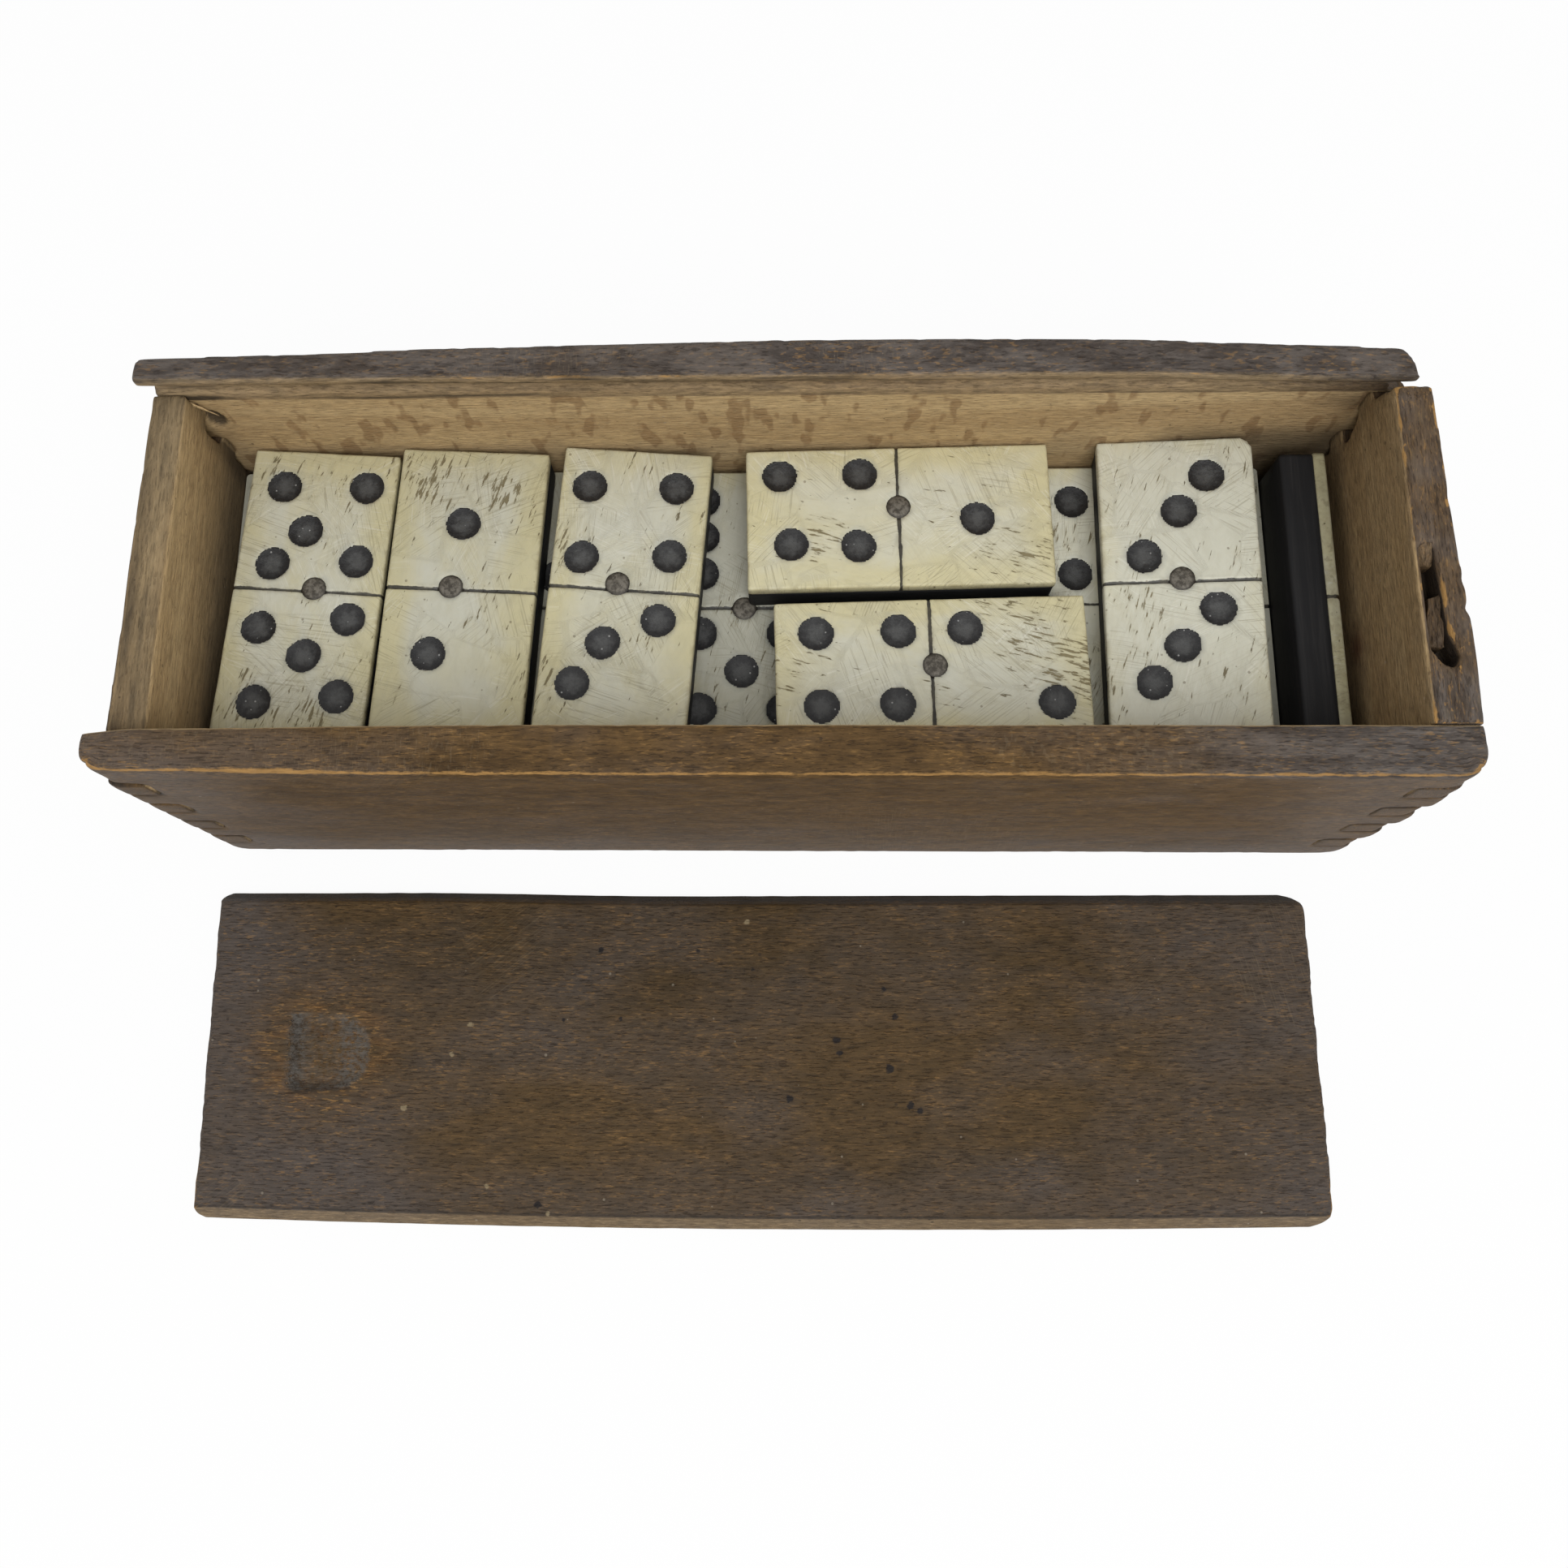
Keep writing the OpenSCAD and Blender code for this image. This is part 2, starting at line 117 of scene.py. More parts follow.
def turn(tilt, yaw):
    """Rotation by tilt about Y and then by yaw about Z, both in degrees."""
    a, b = np.radians([tilt, yaw])
    about_y = np.array([[np.cos(a), 0, np.sin(a)], [0, 1, 0], [-np.sin(a), 0, np.cos(a)]])
    about_z = np.array([[np.cos(b), -np.sin(b), 0], [np.sin(b), np.cos(b), 0], [0, 0, 1]])
    return about_z @ about_y


# ---------------------------------------------------------------- meshes

def put(name, data):
    """Makes an object of the data and links it into the scene."""
    made = bpy.data.objects.new(name, data)
    bpy.context.scene.collection.objects.link(made)
    return made


def make_piece(name, points, faces, body, material, replaced, marks):
    """Puts a mesh of points (mm) and blocks of faces into the scene and ties it to its body, slot and CAD node."""
    mesh = bpy.data.meshes.new(name)
    mesh.from_pydata((points * MM).tolist(), [], [face for block in faces for face in block.tolist()])
    mesh.polygons.foreach_set("use_smooth", [True] * len(mesh.polygons))
    set_marks(mesh, marks)
    mesh.update()
    piece = put(name, mesh)
    finish_piece(piece, body, material, replaced)
    return piece


def finish_piece(piece, body, material, replaced):
    piece.data.materials.clear()
    piece.data.materials.append(material)
    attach(piece, body)
    if replaced:
        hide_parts(*replaced)


def set_marks(mesh, marks):
    """Writes one value or vector per vertex for each named mark, for the materials to read."""
    for key, values in marks.items():
        values = np.asarray(values, dtype=np.float32)
        kind, field = ("FLOAT_VECTOR", "vector") if values.ndim == 2 else ("FLOAT", "value")
        mesh.attributes.new(key, kind, "POINT").data.foreach_set(field, values.ravel())

def grid_faces(rows, cols):
    """Quads of a grid of rows x cols points, facing up when X follows columns and Y follows rows."""
    i = np.arange(rows - 1)[:, None] * cols + np.arange(cols - 1)
    return np.stack([i, i + 1, i + cols + 1, i + cols], -1).reshape(-1, 4)


def border(rows, cols):
    """Indices of a grid's outermost points, anticlockwise from its first corner, and their outward directions."""
    low = np.arange(cols - 1)
    right = np.arange(rows - 1) * cols + cols - 1
    high = rows * cols - 1 - np.arange(cols - 1)
    left = (rows - 1 - np.arange(rows - 1)) * cols
    sides = [low, right, high, left]
    out = np.repeat([(0.0, -1.0), (1.0, 0.0), (0.0, 1.0), (-1.0, 0.0)], [len(side) for side in sides], axis=0)
    corners = np.cumsum([0] + [len(side) for side in sides[:3]])
    out[corners] = 0.8 * (out[corners] + out[corners - 1])
    return np.concatenate(sides), out


def band_faces(upper, lower):
    """Quads between two loops of the same length, facing out when the loops run anticlockwise."""
    return np.stack([upper, lower, np.roll(lower, -1), np.roll(upper, -1)], -1)


def skirted(top, steps, foot_noise=0.0):
    """A grid of heights closed below: its border is carried through the steps (out, down or level) to a flat foot.

    Each step is (outward distance, drop below the border, None) or (outward distance, None, level).
    """
    rows, cols = top.shape[:2]
    points, faces = [top.reshape(-1, 3)], [grid_faces(rows, cols)]
    upper, out = border(rows, cols)
    edge = points[0][upper]
    lower = rows * cols + np.arange(len(upper))
    for offset, drop, level in steps:
        ring = edge.copy()
        ring[:, :2] += out * offset
        if foot_noise:
            ring[:, :2] -= out * foot_noise * (1 + flat_noise(ring[:, 0], ring[:, 1], 2.5, 5))[:, None]
        ring[:, 2] = edge[:, 2] - drop if level is None else level
        points.append(ring)
        faces.append(band_faces(upper, lower))
        upper, lower = lower, lower + len(lower)
    return np.concatenate(points), faces + [upper[None, ::-1]]


def rounded_outline(half_w, half_l, radius, step):
    """Points along a rectangle with round corners, anticlockwise from its lower side."""
    path = []
    for x, y, start in ((half_w, -half_l, -90), (half_w, half_l, 0), (-half_w, half_l, 90), (-half_w, -half_l, 180)):
        a = np.radians(np.linspace(start, start + 90, 7))
        path.append(np.stack([x - np.sign(x) * radius + radius * np.cos(a),
                              y - np.sign(y) * radius + radius * np.sin(a)], -1))
    closed = np.concatenate(path + [path[0][:1]])
    length = np.concatenate([[0], np.cumsum(np.hypot(*np.diff(closed, axis=0).T))])
    s = np.linspace(0, length[-1], int(length[-1] / step), endpoint=False)
    s = np.unique(np.concatenate([s, length[:-1]]))
    s = s[np.concatenate([[True], np.diff(s) > 0.03])]
    return np.stack([np.interp(s, length, closed[:, 0]), np.interp(s, length, closed[:, 1])], -1)


def merged(parts):
    """Joins several (points, faces) into one."""
    first = np.cumsum([0] + [len(points) for points, _ in parts])
    faces = [block + start for start, (_, blocks) in zip(first, parts) for block in blocks]
    return np.concatenate([points for points, _ in parts]), faces


# ---------------------------------------------------------------- tiles

def pip_spots(n):
    """Where n pips sit on half a tile, from the middle of that half."""
    spots = [(0, 0)] if n % 2 else []
    if n >= 2:
        spots += [(PIP_COL, PIP_ROW), (-PIP_COL, -PIP_ROW)]
    if n >= 4:
        spots += [(-PIP_COL, PIP_ROW), (PIP_COL, -PIP_ROW)]
    if n == 6:
        spots += [(PIP_COL, 0), (-PIP_COL, 0)]
    return spots


def all_spots(name, tile):
    """Centres of a tile's pips: the even places of each half, moved with their half and then each by its own stray."""
    upper, lower, shift_up, shift_low = tile[3:7]
    even = ([(x + shift_up[0], y + shift_up[1] + HALF_OFF) for x, y in pip_spots(upper)]
            + [(x + shift_low[0], y + shift_low[1] - HALF_OFF) for x, y in pip_spots(lower)])
    stray = STRAY.get(name, {})
    return [(x + stray.get(k, (0, 0))[0], y + stray.get(k, (0, 0))[1]) for k, (x, y) in enumerate(even)]


def pin_spot(name):
    return STRAY.get(name, {}).get("pin", (0, 0))


def pip_radius(angle, k, seed):
    """Radius of a hand-drilled pip: a circle with slow swells and one small snag on its rim."""
    phase = 2.4 * k + seed
    snag = 0.08 * np.exp(-((np.angle(np.exp(1j * (angle - phase))) / 0.16) ** 2))
    return PIP_R - 0.05 + 0.04 * np.sin(2 * angle + phase) + 0.03 * np.sin(3 * angle - 2 * phase) + snag


def edge_distance(x, y):
    """How far a place on a tile is from the nearest edge of it."""
    return np.minimum(TILE_W / 2 - np.abs(x), TILE_L / 2 - np.abs(y))


def face_height(x, y, spots, pin, seed):
    """Height of a bone face: level, worn down at its edges, less the dividing groove and all hollows."""
    z = TILE_T - 0.10 * (1 - ramp(edge_distance(x, y), 0.2, 2.6)) + 0.02 * flat_noise(x, y, 5.0, seed)
    wander = 0.10 * flat_noise(x, y, 3.0, seed + 1)
    z -= LINE_DEPTH * (1 - ramp(np.abs(y + wander), 0.12, 0.36))
    for k, (px, py) in enumerate(spots):
        r = np.hypot(x - px, y - py) / (pip_radius(np.arctan2(y - py, x - px), k, seed) / PIP_R)
        z -= 0.09 * (1 - ramp(r, PIP_R, PIP_R + 0.35)) + PIP_DEPTH * (1 - ramp(r, 2.25, PIP_R - 0.08))
    r = np.hypot(x - pin[0], y - pin[1])
    z -= 0.10 * (1 - ramp(r, PIN_R, PIN_R + 0.35)) + PIN_DEPTH * (1 - ramp(r, 1.55, PIN_R - 0.1))
    return z


def chip(x, y, leg):
    """Cuts a plan's corner at +X +Y on the slant: what lies within the leg's reach is pushed back, most at the tip."""
    reach = TILE_W / 2 - x + TILE_L / 2 - y
    push = np.clip(leg - 0.77 * reach, 0, None) / 2
    return x - push, y - push, 0.35 * push


def place_tile(points, tile):
    return points @ turn(*tile[2]).T + np.array(tile[1])


# where the bone is most open-grained: x, y in the case, radius, strength
STREAKS = ((-51, 20, 5, 1.0), (-40, 18, 4.5, 0.8), (-74, -16, 6, 0.9), (-67, -17, 5, 0.9), (-76, 21, 3, 0.6),
           (-31, 11, 5, 0.6), (-34, -12, 5, 0.7), (-17, -2, 4, 0.4), (36, -4, 6, 0.8), (42, -9, 6, 1.0),
           (30, 0, 4, 0.5), (2, -8, 5, 0.6), (51, 0, 3, 0.6), (34, 9, 5, 0.6), (42, 14, 4, 0.6),
           (6, 10, 4, 0.5), (64, -12, 5, 0.4), (-62, 20, 4, 0.5), (-42, 3, 4, 0.4), (-21, 21, 3, 0.4))


def streaks_at(points):
    """How open-grained the bone is at each point: the strongest of STREAKS there, each fading from its middle."""
    x, y, radius, strength = np.array(STREAKS).T[:, :, None]
    return np.max(strength * np.exp(-(np.hypot(points[:, 0] - x, points[:, 1] - y) / radius) ** 2), axis=0)


def tile_part(name, tile, seed, label, slot, material, node, points, faces, **marks):
    """Puts one piece of a tile in its place. Its material reads coordinates that are different for each tile."""
    marks["local"] = points + np.array([61.0 * seed, 23.0 * seed, 0])
    placed = place_tile(points, tile)
    make_piece(f"{name}_{label}", placed, faces, tile[0], material, [f"{name}_{node}"], marks)


def tile_face(name, tile, seed, material):
    """Bone face: a fine grid of face_height, its border carried round a worn edge and down to the ebony."""
    spots, pin = all_spots(name, tile), pin_spot(name)
    soft = 0.42
    x, y = np.meshgrid(np.linspace(-TILE_W / 2 + soft, TILE_W / 2 - soft, 92),
                       np.linspace(-TILE_L / 2 + soft, TILE_L / 2 - soft, 188))
    z = face_height(x, y, spots, pin, seed)
    x, y, sunk = chip(x, y, CHIPPED.get(name, 0.4))
    steps = [(soft * np.sin(a), soft * (1 - np.cos(a)), None) for a in np.radians([25, 50, 75, 90])]
    steps += [(soft, None, EBONY_T + 0.9), (soft, None, EBONY_T + 0.12), (soft - 0.12, None, EBONY_T)]
    points, faces = skirted(np.stack([x, y, z - sunk], -1), steps, 0.03)
    px, py = points[:, 0], points[:, 1]
    to_pip = np.min([np.hypot(px - x, py - y) for x, y in spots], axis=0)
    to_pin = np.hypot(px - pin[0], py - pin[1])
    tile_part(name, tile, seed, "bone", "bone", material, "face", points, faces,
              stain=np.clip(1 - (to_pip - PIP_R) / 0.7, 0, 1) + 0.7 * np.clip(1 - (to_pin - PIN_R) / 0.8, 0, 1),
              line=np.abs(py), to_edge=edge_distance(px, py), streaky=streaks_at(place_tile(points, tile)),
              white=np.full(len(points), tile[7]), light=np.full(len(points), tile[8]))


def tile_back(name, tile, seed, material):
    """Ebony back: a rounded rectangle carried up from a worn lower edge."""
    line = rounded_outline(TILE_W / 2, TILE_L / 2, 0.7, 0.8)
    out = line / np.array([TILE_W / 2, TILE_L / 2])
    out = np.sign(out) * np.abs(out) ** 12
    out /= np.maximum(np.hypot(*out.T), 1e-6)[:, None]
    rough = 0.03 * (1 + flat_noise(line[:, 0] + 31 * seed, line[:, 1], 2.0, 11))
    rings = []
    for inset, z in ((0.55, 0.0), (0.26, 0.1), (0.08, 0.32), (0.02, 0.7), (0.0, 1.6), (0.03, 2.8), (0.0, 4.0),
                     (0.0, EBONY_T - 0.12), (0.12, EBONY_T)):
        rings.append(np.column_stack([line - out * (inset + rough)[:, None], np.full(len(line), z)]))
    loops = np.arange(len(rings) * len(line)).reshape(len(rings), -1)
    faces = [band_faces(upper, lower) for lower, upper in zip(loops, loops[1:])]
    faces += [loops[:1, ::-1], loops[-1:]]
    tile_part(name, tile, seed, "ebony", "ebony", material, "back", np.concatenate(rings), faces)


def round_plug(centre, radius, profile, foot):
    """A disc of rings about its centre: profile(r, angle) gives its height, and a wall closes it down to its foot."""
    steps, around = 14, 48
    angle = np.linspace(0, 2 * np.pi, around, endpoint=False)
    r = np.linspace(0, 1, steps + 1)[1:, None]
    rim = radius(angle)[None, :]
    x = centre[0] + r * rim * np.cos(angle)
    y = centre[1] + r * rim * np.sin(angle)
    z = profile(r * np.ones_like(rim), angle[None, :])
    middle = np.array([[centre[0], centre[1], profile(np.zeros((1, 1)), np.zeros((1, 1)))[0, 0]]])
    wall = np.column_stack([x[-1], y[-1], np.full(around, foot)])
    points = np.concatenate([middle, np.stack([x, y, z], -1).reshape(-1, 3), wall])
    ring = 1 + np.arange(around)
    faces = [np.stack([0 * ring, ring, np.roll(ring, -1)], -1)]
    faces += [band_faces(ring + k * around, ring + (k + 1) * around) for k in range(steps)]
    return points, faces + [(ring + steps * around)[None, ::-1]]


def tile_pips(name, tile, seed, material):
    """Black filling of each pip: a shallow dish with a lumpy floor, set just under the bone."""
    parts = []
    spots = all_spots(name, tile)
    for k, spot in enumerate(spots):
        def profile(r, angle, k=k, spot=spot):
            lump = flat_noise(spot[0] + 2.6 * r * np.cos(angle), spot[1] + 2.6 * r * np.sin(angle), 0.8, seed + k)
            return TILE_T - 0.10 - 0.42 * (1 - r ** 2) ** 0.8 + 0.035 * lump * (1 - r ** 4)
        parts.append(round_plug(spot, lambda a, k=k: pip_radius(a, k, seed), profile, TILE_T - 0.7))
    points, faces = merged(parts)
    far = np.min([np.hypot(points[:, 0] - px, points[:, 1] - py) for px, py in spots], axis=0)
    # hub runs from 1 in the middle of each pip to 0 at its wall, for the painted reflection and shade
    tile_part(name, tile, seed, "filling", "pip_black", material, "pips", points, faces,
              hub=1 - ramp(far, 0.2, 2.5))


def tile_pin(name, tile, seed, material):
    """Head of the brass pin: a low dome, hammered flat in the middle, standing in its seat."""
    def profile(r, angle):
        dent = 0.03 * flat_noise(2 * r * np.cos(angle) + 9 * seed, 2 * r * np.sin(angle), 0.9, 40 + seed)
        return TILE_T - 0.02 - 0.22 * r ** 4 - 0.06 * r ** 2 + dent
    spot = pin_spot(name)
    points, faces = round_plug(spot, lambda a: PIN_R - 0.1 + 0.03 * np.sin(2 * a + seed), profile, TILE_T - 0.9)
    far = np.hypot(points[:, 0] - spot[0], points[:, 1] - spot[1])
    # hub falls to 0 round the dome's edge, where painted shade darkens the pin
    tile_part(name, tile, seed, "rivet", "brass_pin", material, "pin", points, faces,
              hub=1 - ramp(far, 1.3, 1.85))


# ---------------------------------------------------------------- timber

def edge_values(mesh):
    """Arrays of a mesh: its points in mm, their normals, and the pairs of points that its edges join."""
    points, normals = np.empty((2, len(mesh.vertices) * 3))
    mesh.vertices.foreach_get("co", points)
    mesh.vertex_normals.foreach_get("vector", normals)
    edges = np.empty(len(mesh.edges) * 2, int)
    mesh.edges.foreach_get("vertices", edges)
    return points.reshape(-1, 3) / MM, normals.reshape(-1, 3), edges.reshape(-1, 2)


def mean_of_neighbours(values, edges):
    """For each vertex, the mean of the values at the other ends of its edges."""
    n = len(values)
    a, b = edges.T
    count = np.bincount(a, minlength=n) + np.bincount(b, minlength=n)
    flat = values.reshape(n, -1)
    total = np.stack([np.bincount(a, column[b], n) + np.bincount(b, column[a], n) for column in flat.T], -1)
    return (total / np.maximum(count, 1)[:, None]).reshape(values.shape)


def bend_marks(points, normals, edges, rounds, scale):
    """How far smoothing pulls each vertex in (arris) or out (hollow) along its normal, from 0 to 1."""
    moved = points
    for _ in range(rounds):
        moved = mean_of_neighbours(moved, edges)
    pull = ((moved - points) * normals).sum(-1) / scale
    return np.clip(-pull, 0, 1), np.clip(pull, 0, 1)


def worn_copy(node, voxel, along, marks, rubbed, damage):
    """A CAD wall aged: remeshed evenly, its arrises rubbed round and ragged, its faces gently uneven.

    along orders the axes so that the first runs with the grain. rubbed gives how bare each arris is, and damage moves
    points to lean a wall or break out a corner.
    """
    piece = put(f"{node}_worn", nodes[node].data.copy())
    shape = bmesh.new()
    shape.from_mesh(piece.data)
    bmesh.ops.remove_doubles(shape, verts=shape.verts, dist=1e-6)
    shape.to_mesh(piece.data)
    shape.free()
    remesh = piece.modifiers.new("even", "REMESH")
    remesh.mode = "VOXEL"
    remesh.voxel_size = voxel * MM
    bpy.context.view_layer.update()
    mesh = bpy.data.meshes.new_from_object(piece.evaluated_get(bpy.context.evaluated_depsgraph_get()))
    piece.modifiers.clear()
    piece.data = mesh
    start, normals, edges = edge_values(mesh)
    arris, hollow = bend_marks(start, normals, edges, 3, 0.55 * voxel)
    wide_arris, _ = bend_marks(start, normals, edges, 16, 1.1 * voxel)
    points = start
    for _ in range(2):
        points = mean_of_neighbours(points, edges)
    ragged = 0.5 * grain_noise(points, 4.0, 3) + 0.5 * grain_noise(points, 1.3, 4)
    points = points - normals * (0.22 * wide_arris * np.clip(ragged - 0.05, 0, 1))[:, None]
    uneven = 0.045 * grain_noise(points, 9.0, 6) + 0.02 * grain_noise(points, 2.2, 7) - 0.03
    points = damage(points + normals * uneven[:, None], start)
    mesh.vertices.foreach_set("co", (points * MM).ravel())
    mesh.polygons.foreach_set("use_smooth", [True] * len(mesh.polygons))
    given = marks(start, normals)
    bald = given.pop("spots", 0.0)
    set_marks(mesh, {"grain": start[:, along], "arris": arris * rubbed(start) + bald, "hollow": hollow, **given})
    mesh.update()
    finish_piece(piece, "case", case_wood, [node])


# ---------------------------------------------------------------- shader building

class Value:
    """A socket of a shader tree to write formulas with: each +, - or * adds one maths node."""

    def __init__(self, tree, socket):
        self.tree, self.socket = tree, socket

    def __add__(self, other):
        return self.tree.maths("ADD", self, other)

    def __sub__(self, other):
        return self.tree.maths("SUBTRACT", self, other)

    def __rsub__(self, other):
        return self.tree.maths("SUBTRACT", other, self)

    def __mul__(self, other):
        return self.tree.maths("MULTIPLY", self, other)

    __radd__ = __add__

    def plus(self, other):
        """The sum, held between 0 and 1."""
        return self.tree.maths("ADD", self, other, use_clamp=True)


class Tree:
    """A shader node tree, with a short method for each kind of node that the materials share."""

    def __init__(self, tree):
        self.tree = tree

    def feed(self, socket, value):
        if isinstance(value, Value):
            self.tree.links.new(value.socket, socket)
        else:
            socket.default_value = value

    def node(self, kind, sockets, **settings):
        """Adds a node, sets its properties, and sets or links its sockets."""
        made = self.tree.nodes.new(kind)
        for key, value in settings.items():
            setattr(made, key, value)
        for key, value in sockets.items():
            self.feed(made.inputs[key], value)
        return made

    def add(self, kind, sockets, *outputs, **settings):
        """Adds a node and returns the outputs asked for, or else its first one."""
        made = self.node(kind, sockets, **settings)
        found = [Value(self, made.outputs[key]) for key in outputs or (0,)]
        return found if len(found) > 1 else found[0]

    def use(self, shared, sockets, *outputs):
        """Adds a node group, set up like any other node."""
        return self.add("ShaderNodeGroup", sockets, *outputs, node_tree=shared)

    def maths(self, operation, *operands, **settings):
        return self.add("ShaderNodeMath", dict(enumerate(operands)), operation=operation, **settings)

    def vectors(self, operation, a, b, output="Vector"):
        return self.add("ShaderNodeVectorMath", {0: a, 1: b}, output, operation=operation)

    def mark(self, name, output="Fac"):
        """A mark that set_marks wrote on the mesh."""
        return self.add("ShaderNodeAttribute", {}, output, attribute_name=name)

    def step(self, value, low, high):
        """0 below low, 1 above high, smooth between them."""
        return self.add("ShaderNodeMapRange", {"Value": value, "From Min": low, "From Max": high},
                        interpolation_type="SMOOTHSTEP")

    def blend(self, amount, a, b):
        """Mixes two colours, each a value or a tuple of red, green and blue."""
        a, b = ((*tone, 1.0) if isinstance(tone, tuple) else tone for tone in (a, b))
        return self.add("ShaderNodeMix", {0: amount, 6: a, 7: b}, 2, data_type="RGBA")

    def scaled(self, vector, scale=(1.0, 1.0, 1.0), turn_by=0.0):
        """A vector scaled along each axis and then turned about Z."""
        return self.add("ShaderNodeMapping", {"Vector": vector, "Scale": scale, "Rotation": (0.0, 0.0, turn_by)})

    def noise(self, vector, scale, detail, rough, warp=0.0, turn_by=0.0):
        return self.add("ShaderNodeTexNoise", {"Vector": self.scaled(vector, scale, turn_by), "Scale": 1.0,
                                               "Detail": detail, "Roughness": rough, "Distortion": warp}, "Fac")


def group(name, inputs, outputs, build):
    """Makes a node group; build(tree, inputs in order) returns what feeds each output in order."""
    tree = Tree(bpy.data.node_groups.new(name, "ShaderNodeTree"))
    for label in inputs:
        kind = "NodeSocketVector" if label == "Place" else "NodeSocketFloat"
        tree.tree.interface.new_socket(label, in_out="INPUT", socket_type=kind)
    for label in outputs:
        tree.tree.interface.new_socket(label, in_out="OUTPUT", socket_type="NodeSocketFloat")
    given = tree.node("NodeGroupInput", {})
    values = build(tree, *(Value(tree, given.outputs[label]) for label in inputs))
    tree.node("NodeGroupOutput", dict(zip(outputs, values)))
    return tree.tree


def build_timber(t, g):
    """Beech seen along the grain: slow bands, fine fibres, and short thin dashes, some paler and some darker."""
    return (t.noise(g, (0.010, 0.13, 0.13), 4.0, 0.6, 0.5),
            t.noise(g, (0.32, 2.6, 2.6), 5.0, 0.72, 0.2),
            t.step(t.noise(g, (0.80, 4.0, 4.0), 2.0, 0.55, 0.2), 0.54, 0.66),
            t.step(t.noise(g, (0.62, 3.8, 3.8), 2.0, 0.55, 0.2, 0.05), 0.55, 0.68))


def build_ragged(t, g, amount, bite, low, high):
    """A mask grown or eaten by noise, so that rubbed edges look torn along the grain."""
    rough = t.noise(g, (0.45, 1.7, 1.7), 5.0, 0.7)
    return [t.step(amount + (rough - 0.5) * bite, low, high)]


def build_scratches(t, v, cells, rarity):
    """Bundles of fine scratches: thin stretched noise, turned by a different angle in each cell of a coarse pattern."""
    warped = t.vectors("ADD", v, t.scaled(v, (0.05, 0.04, 0.05)))
    tone = t.add("ShaderNodeTexVoronoi", {"Vector": warped, "Scale": cells, "Randomness": 1.0, "Smoothness": 0.12},
                 "Color", feature="SMOOTH_F1")
    pick, chance = t.add("ShaderNodeSeparateColor", {"Color": tone}, 0, 1)
    turned = t.add("ShaderNodeVectorRotate", {"Vector": v, "Angle": pick * 3.14}, rotation_type="Z_AXIS")
    lines = t.noise(turned, (0.16, 5.5, 1.0), 2.0, 0.5, 0.3)
    shown = t.step(chance - rarity, 0.0, 0.25)
    return t.step(lines, 0.56, 0.645) * shown, lines * shown


def build_specks(t, v, per_mm, rarity):
    """Small round spots of dirt or dust, scattered at most one to a cell."""
    tone, far = t.add("ShaderNodeTexVoronoi", {"Vector": v, "Scale": per_mm, "Randomness": 1.0}, "Color", "Distance")
    chance, reach = t.add("ShaderNodeSeparateColor", {"Color": tone}, 0, 1)
    return [t.step(reach * 0.14 - far, -0.04, 0.02) * t.maths("GREATER_THAN", chance, rarity)]


timber = group("Timber figure", ["Place"], ["Bands", "Fibres", "Pale dashes", "Dark dashes"], build_timber)
ragged_mask = group("Ragged wear", ["Place", "Amount", "Bite", "Low", "High"], ["Mask"], build_ragged)
scratches = group("Bundled scratches", ["Place", "Cells", "Rarity"], ["Mask", "Lines"], build_scratches)
specks = group("Specks", ["Place", "Per mm", "Rarity"], ["Mask"], build_specks)


class Coat(Tree):
    """A material being built: its base colour grows by tones laid over one another."""

    def __init__(self, name, plain, place_mark):
        """place is the mark that holds coordinates in mm or, for a plain CAD shape, its object coordinates."""
        self.material = bpy.data.materials.new(name)
        self.material.use_nodes = True
        super().__init__(self.material.node_tree)
        if plain:
            self.place = self.scaled(self.add("ShaderNodeTexCoord", {}, "Object"), (1000.0, 1000.0, 1000.0))
        else:
            self.place = self.mark(place_mark, "Vector")

    def start(self, amount, a, b):
        self.base = self.blend(amount, a, b)

    def lay(self, amount, tone):
        """Lays a tone over the base colour by the given amount."""
        self.base = self.blend(amount, self.base, tone)

    def brighten(self, factor):
        self.base = self.add("ShaderNodeVectorMath", {0: self.base, "Scale": factor}, operation="SCALE")

    def ragged(self, amount, bite, low, high):
        return self.use(ragged_mask, {"Place": self.place, "Amount": amount, "Bite": bite, "Low": low, "High": high})

    def specks(self, per_mm, rarity, turn_by=None):
        place = self.place if turn_by is None else self.add(
            "ShaderNodeMapping", {"Vector": self.place, "Rotation": turn_by})
        return self.use(specks, {"Place": place, "Per mm": per_mm, "Rarity": rarity})

    def scratches(self, turn_by, cells, rarity):
        return self.use(scratches, {"Place": self.scaled(self.place, turn_by=turn_by), "Cells": cells,
                                    "Rarity": rarity}, "Mask", "Lines")

    def dabs(self, places):
        """Mask of small ragged dabs at listed places (x, y, radius) on a surface that faces up."""
        flat = self.vectors("MULTIPLY", self.place, (1.0, 1.0, 0.0))
        wobble = self.noise(flat, (1.6, 2.2, 1.0), 2.0, 0.6) * 0.9
        total = None
        for x, y, radius in places:
            far = self.vectors("DISTANCE", flat, (x, y, 0.0), "Value")
            dab = self.step(far + wobble, radius + 0.62, radius + 0.34)
            total = dab if total is None else self.maths("MAXIMUM", total, dab)
        return total

    def finish(self, rough, height, depth, strength, settings):
        """Feeds the shader its colour, its roughness, a bump of the given depth in metres, and other settings."""
        normal = self.add("ShaderNodeBump", {"Height": height, "Distance": depth, "Strength": strength})
        given = {"Base Color": self.base, "Roughness": rough, "Normal": normal, **settings}
        for key, value in given.items():
            self.feed(self.tree.nodes["Principled BSDF"].inputs[key], value)
        return self.material


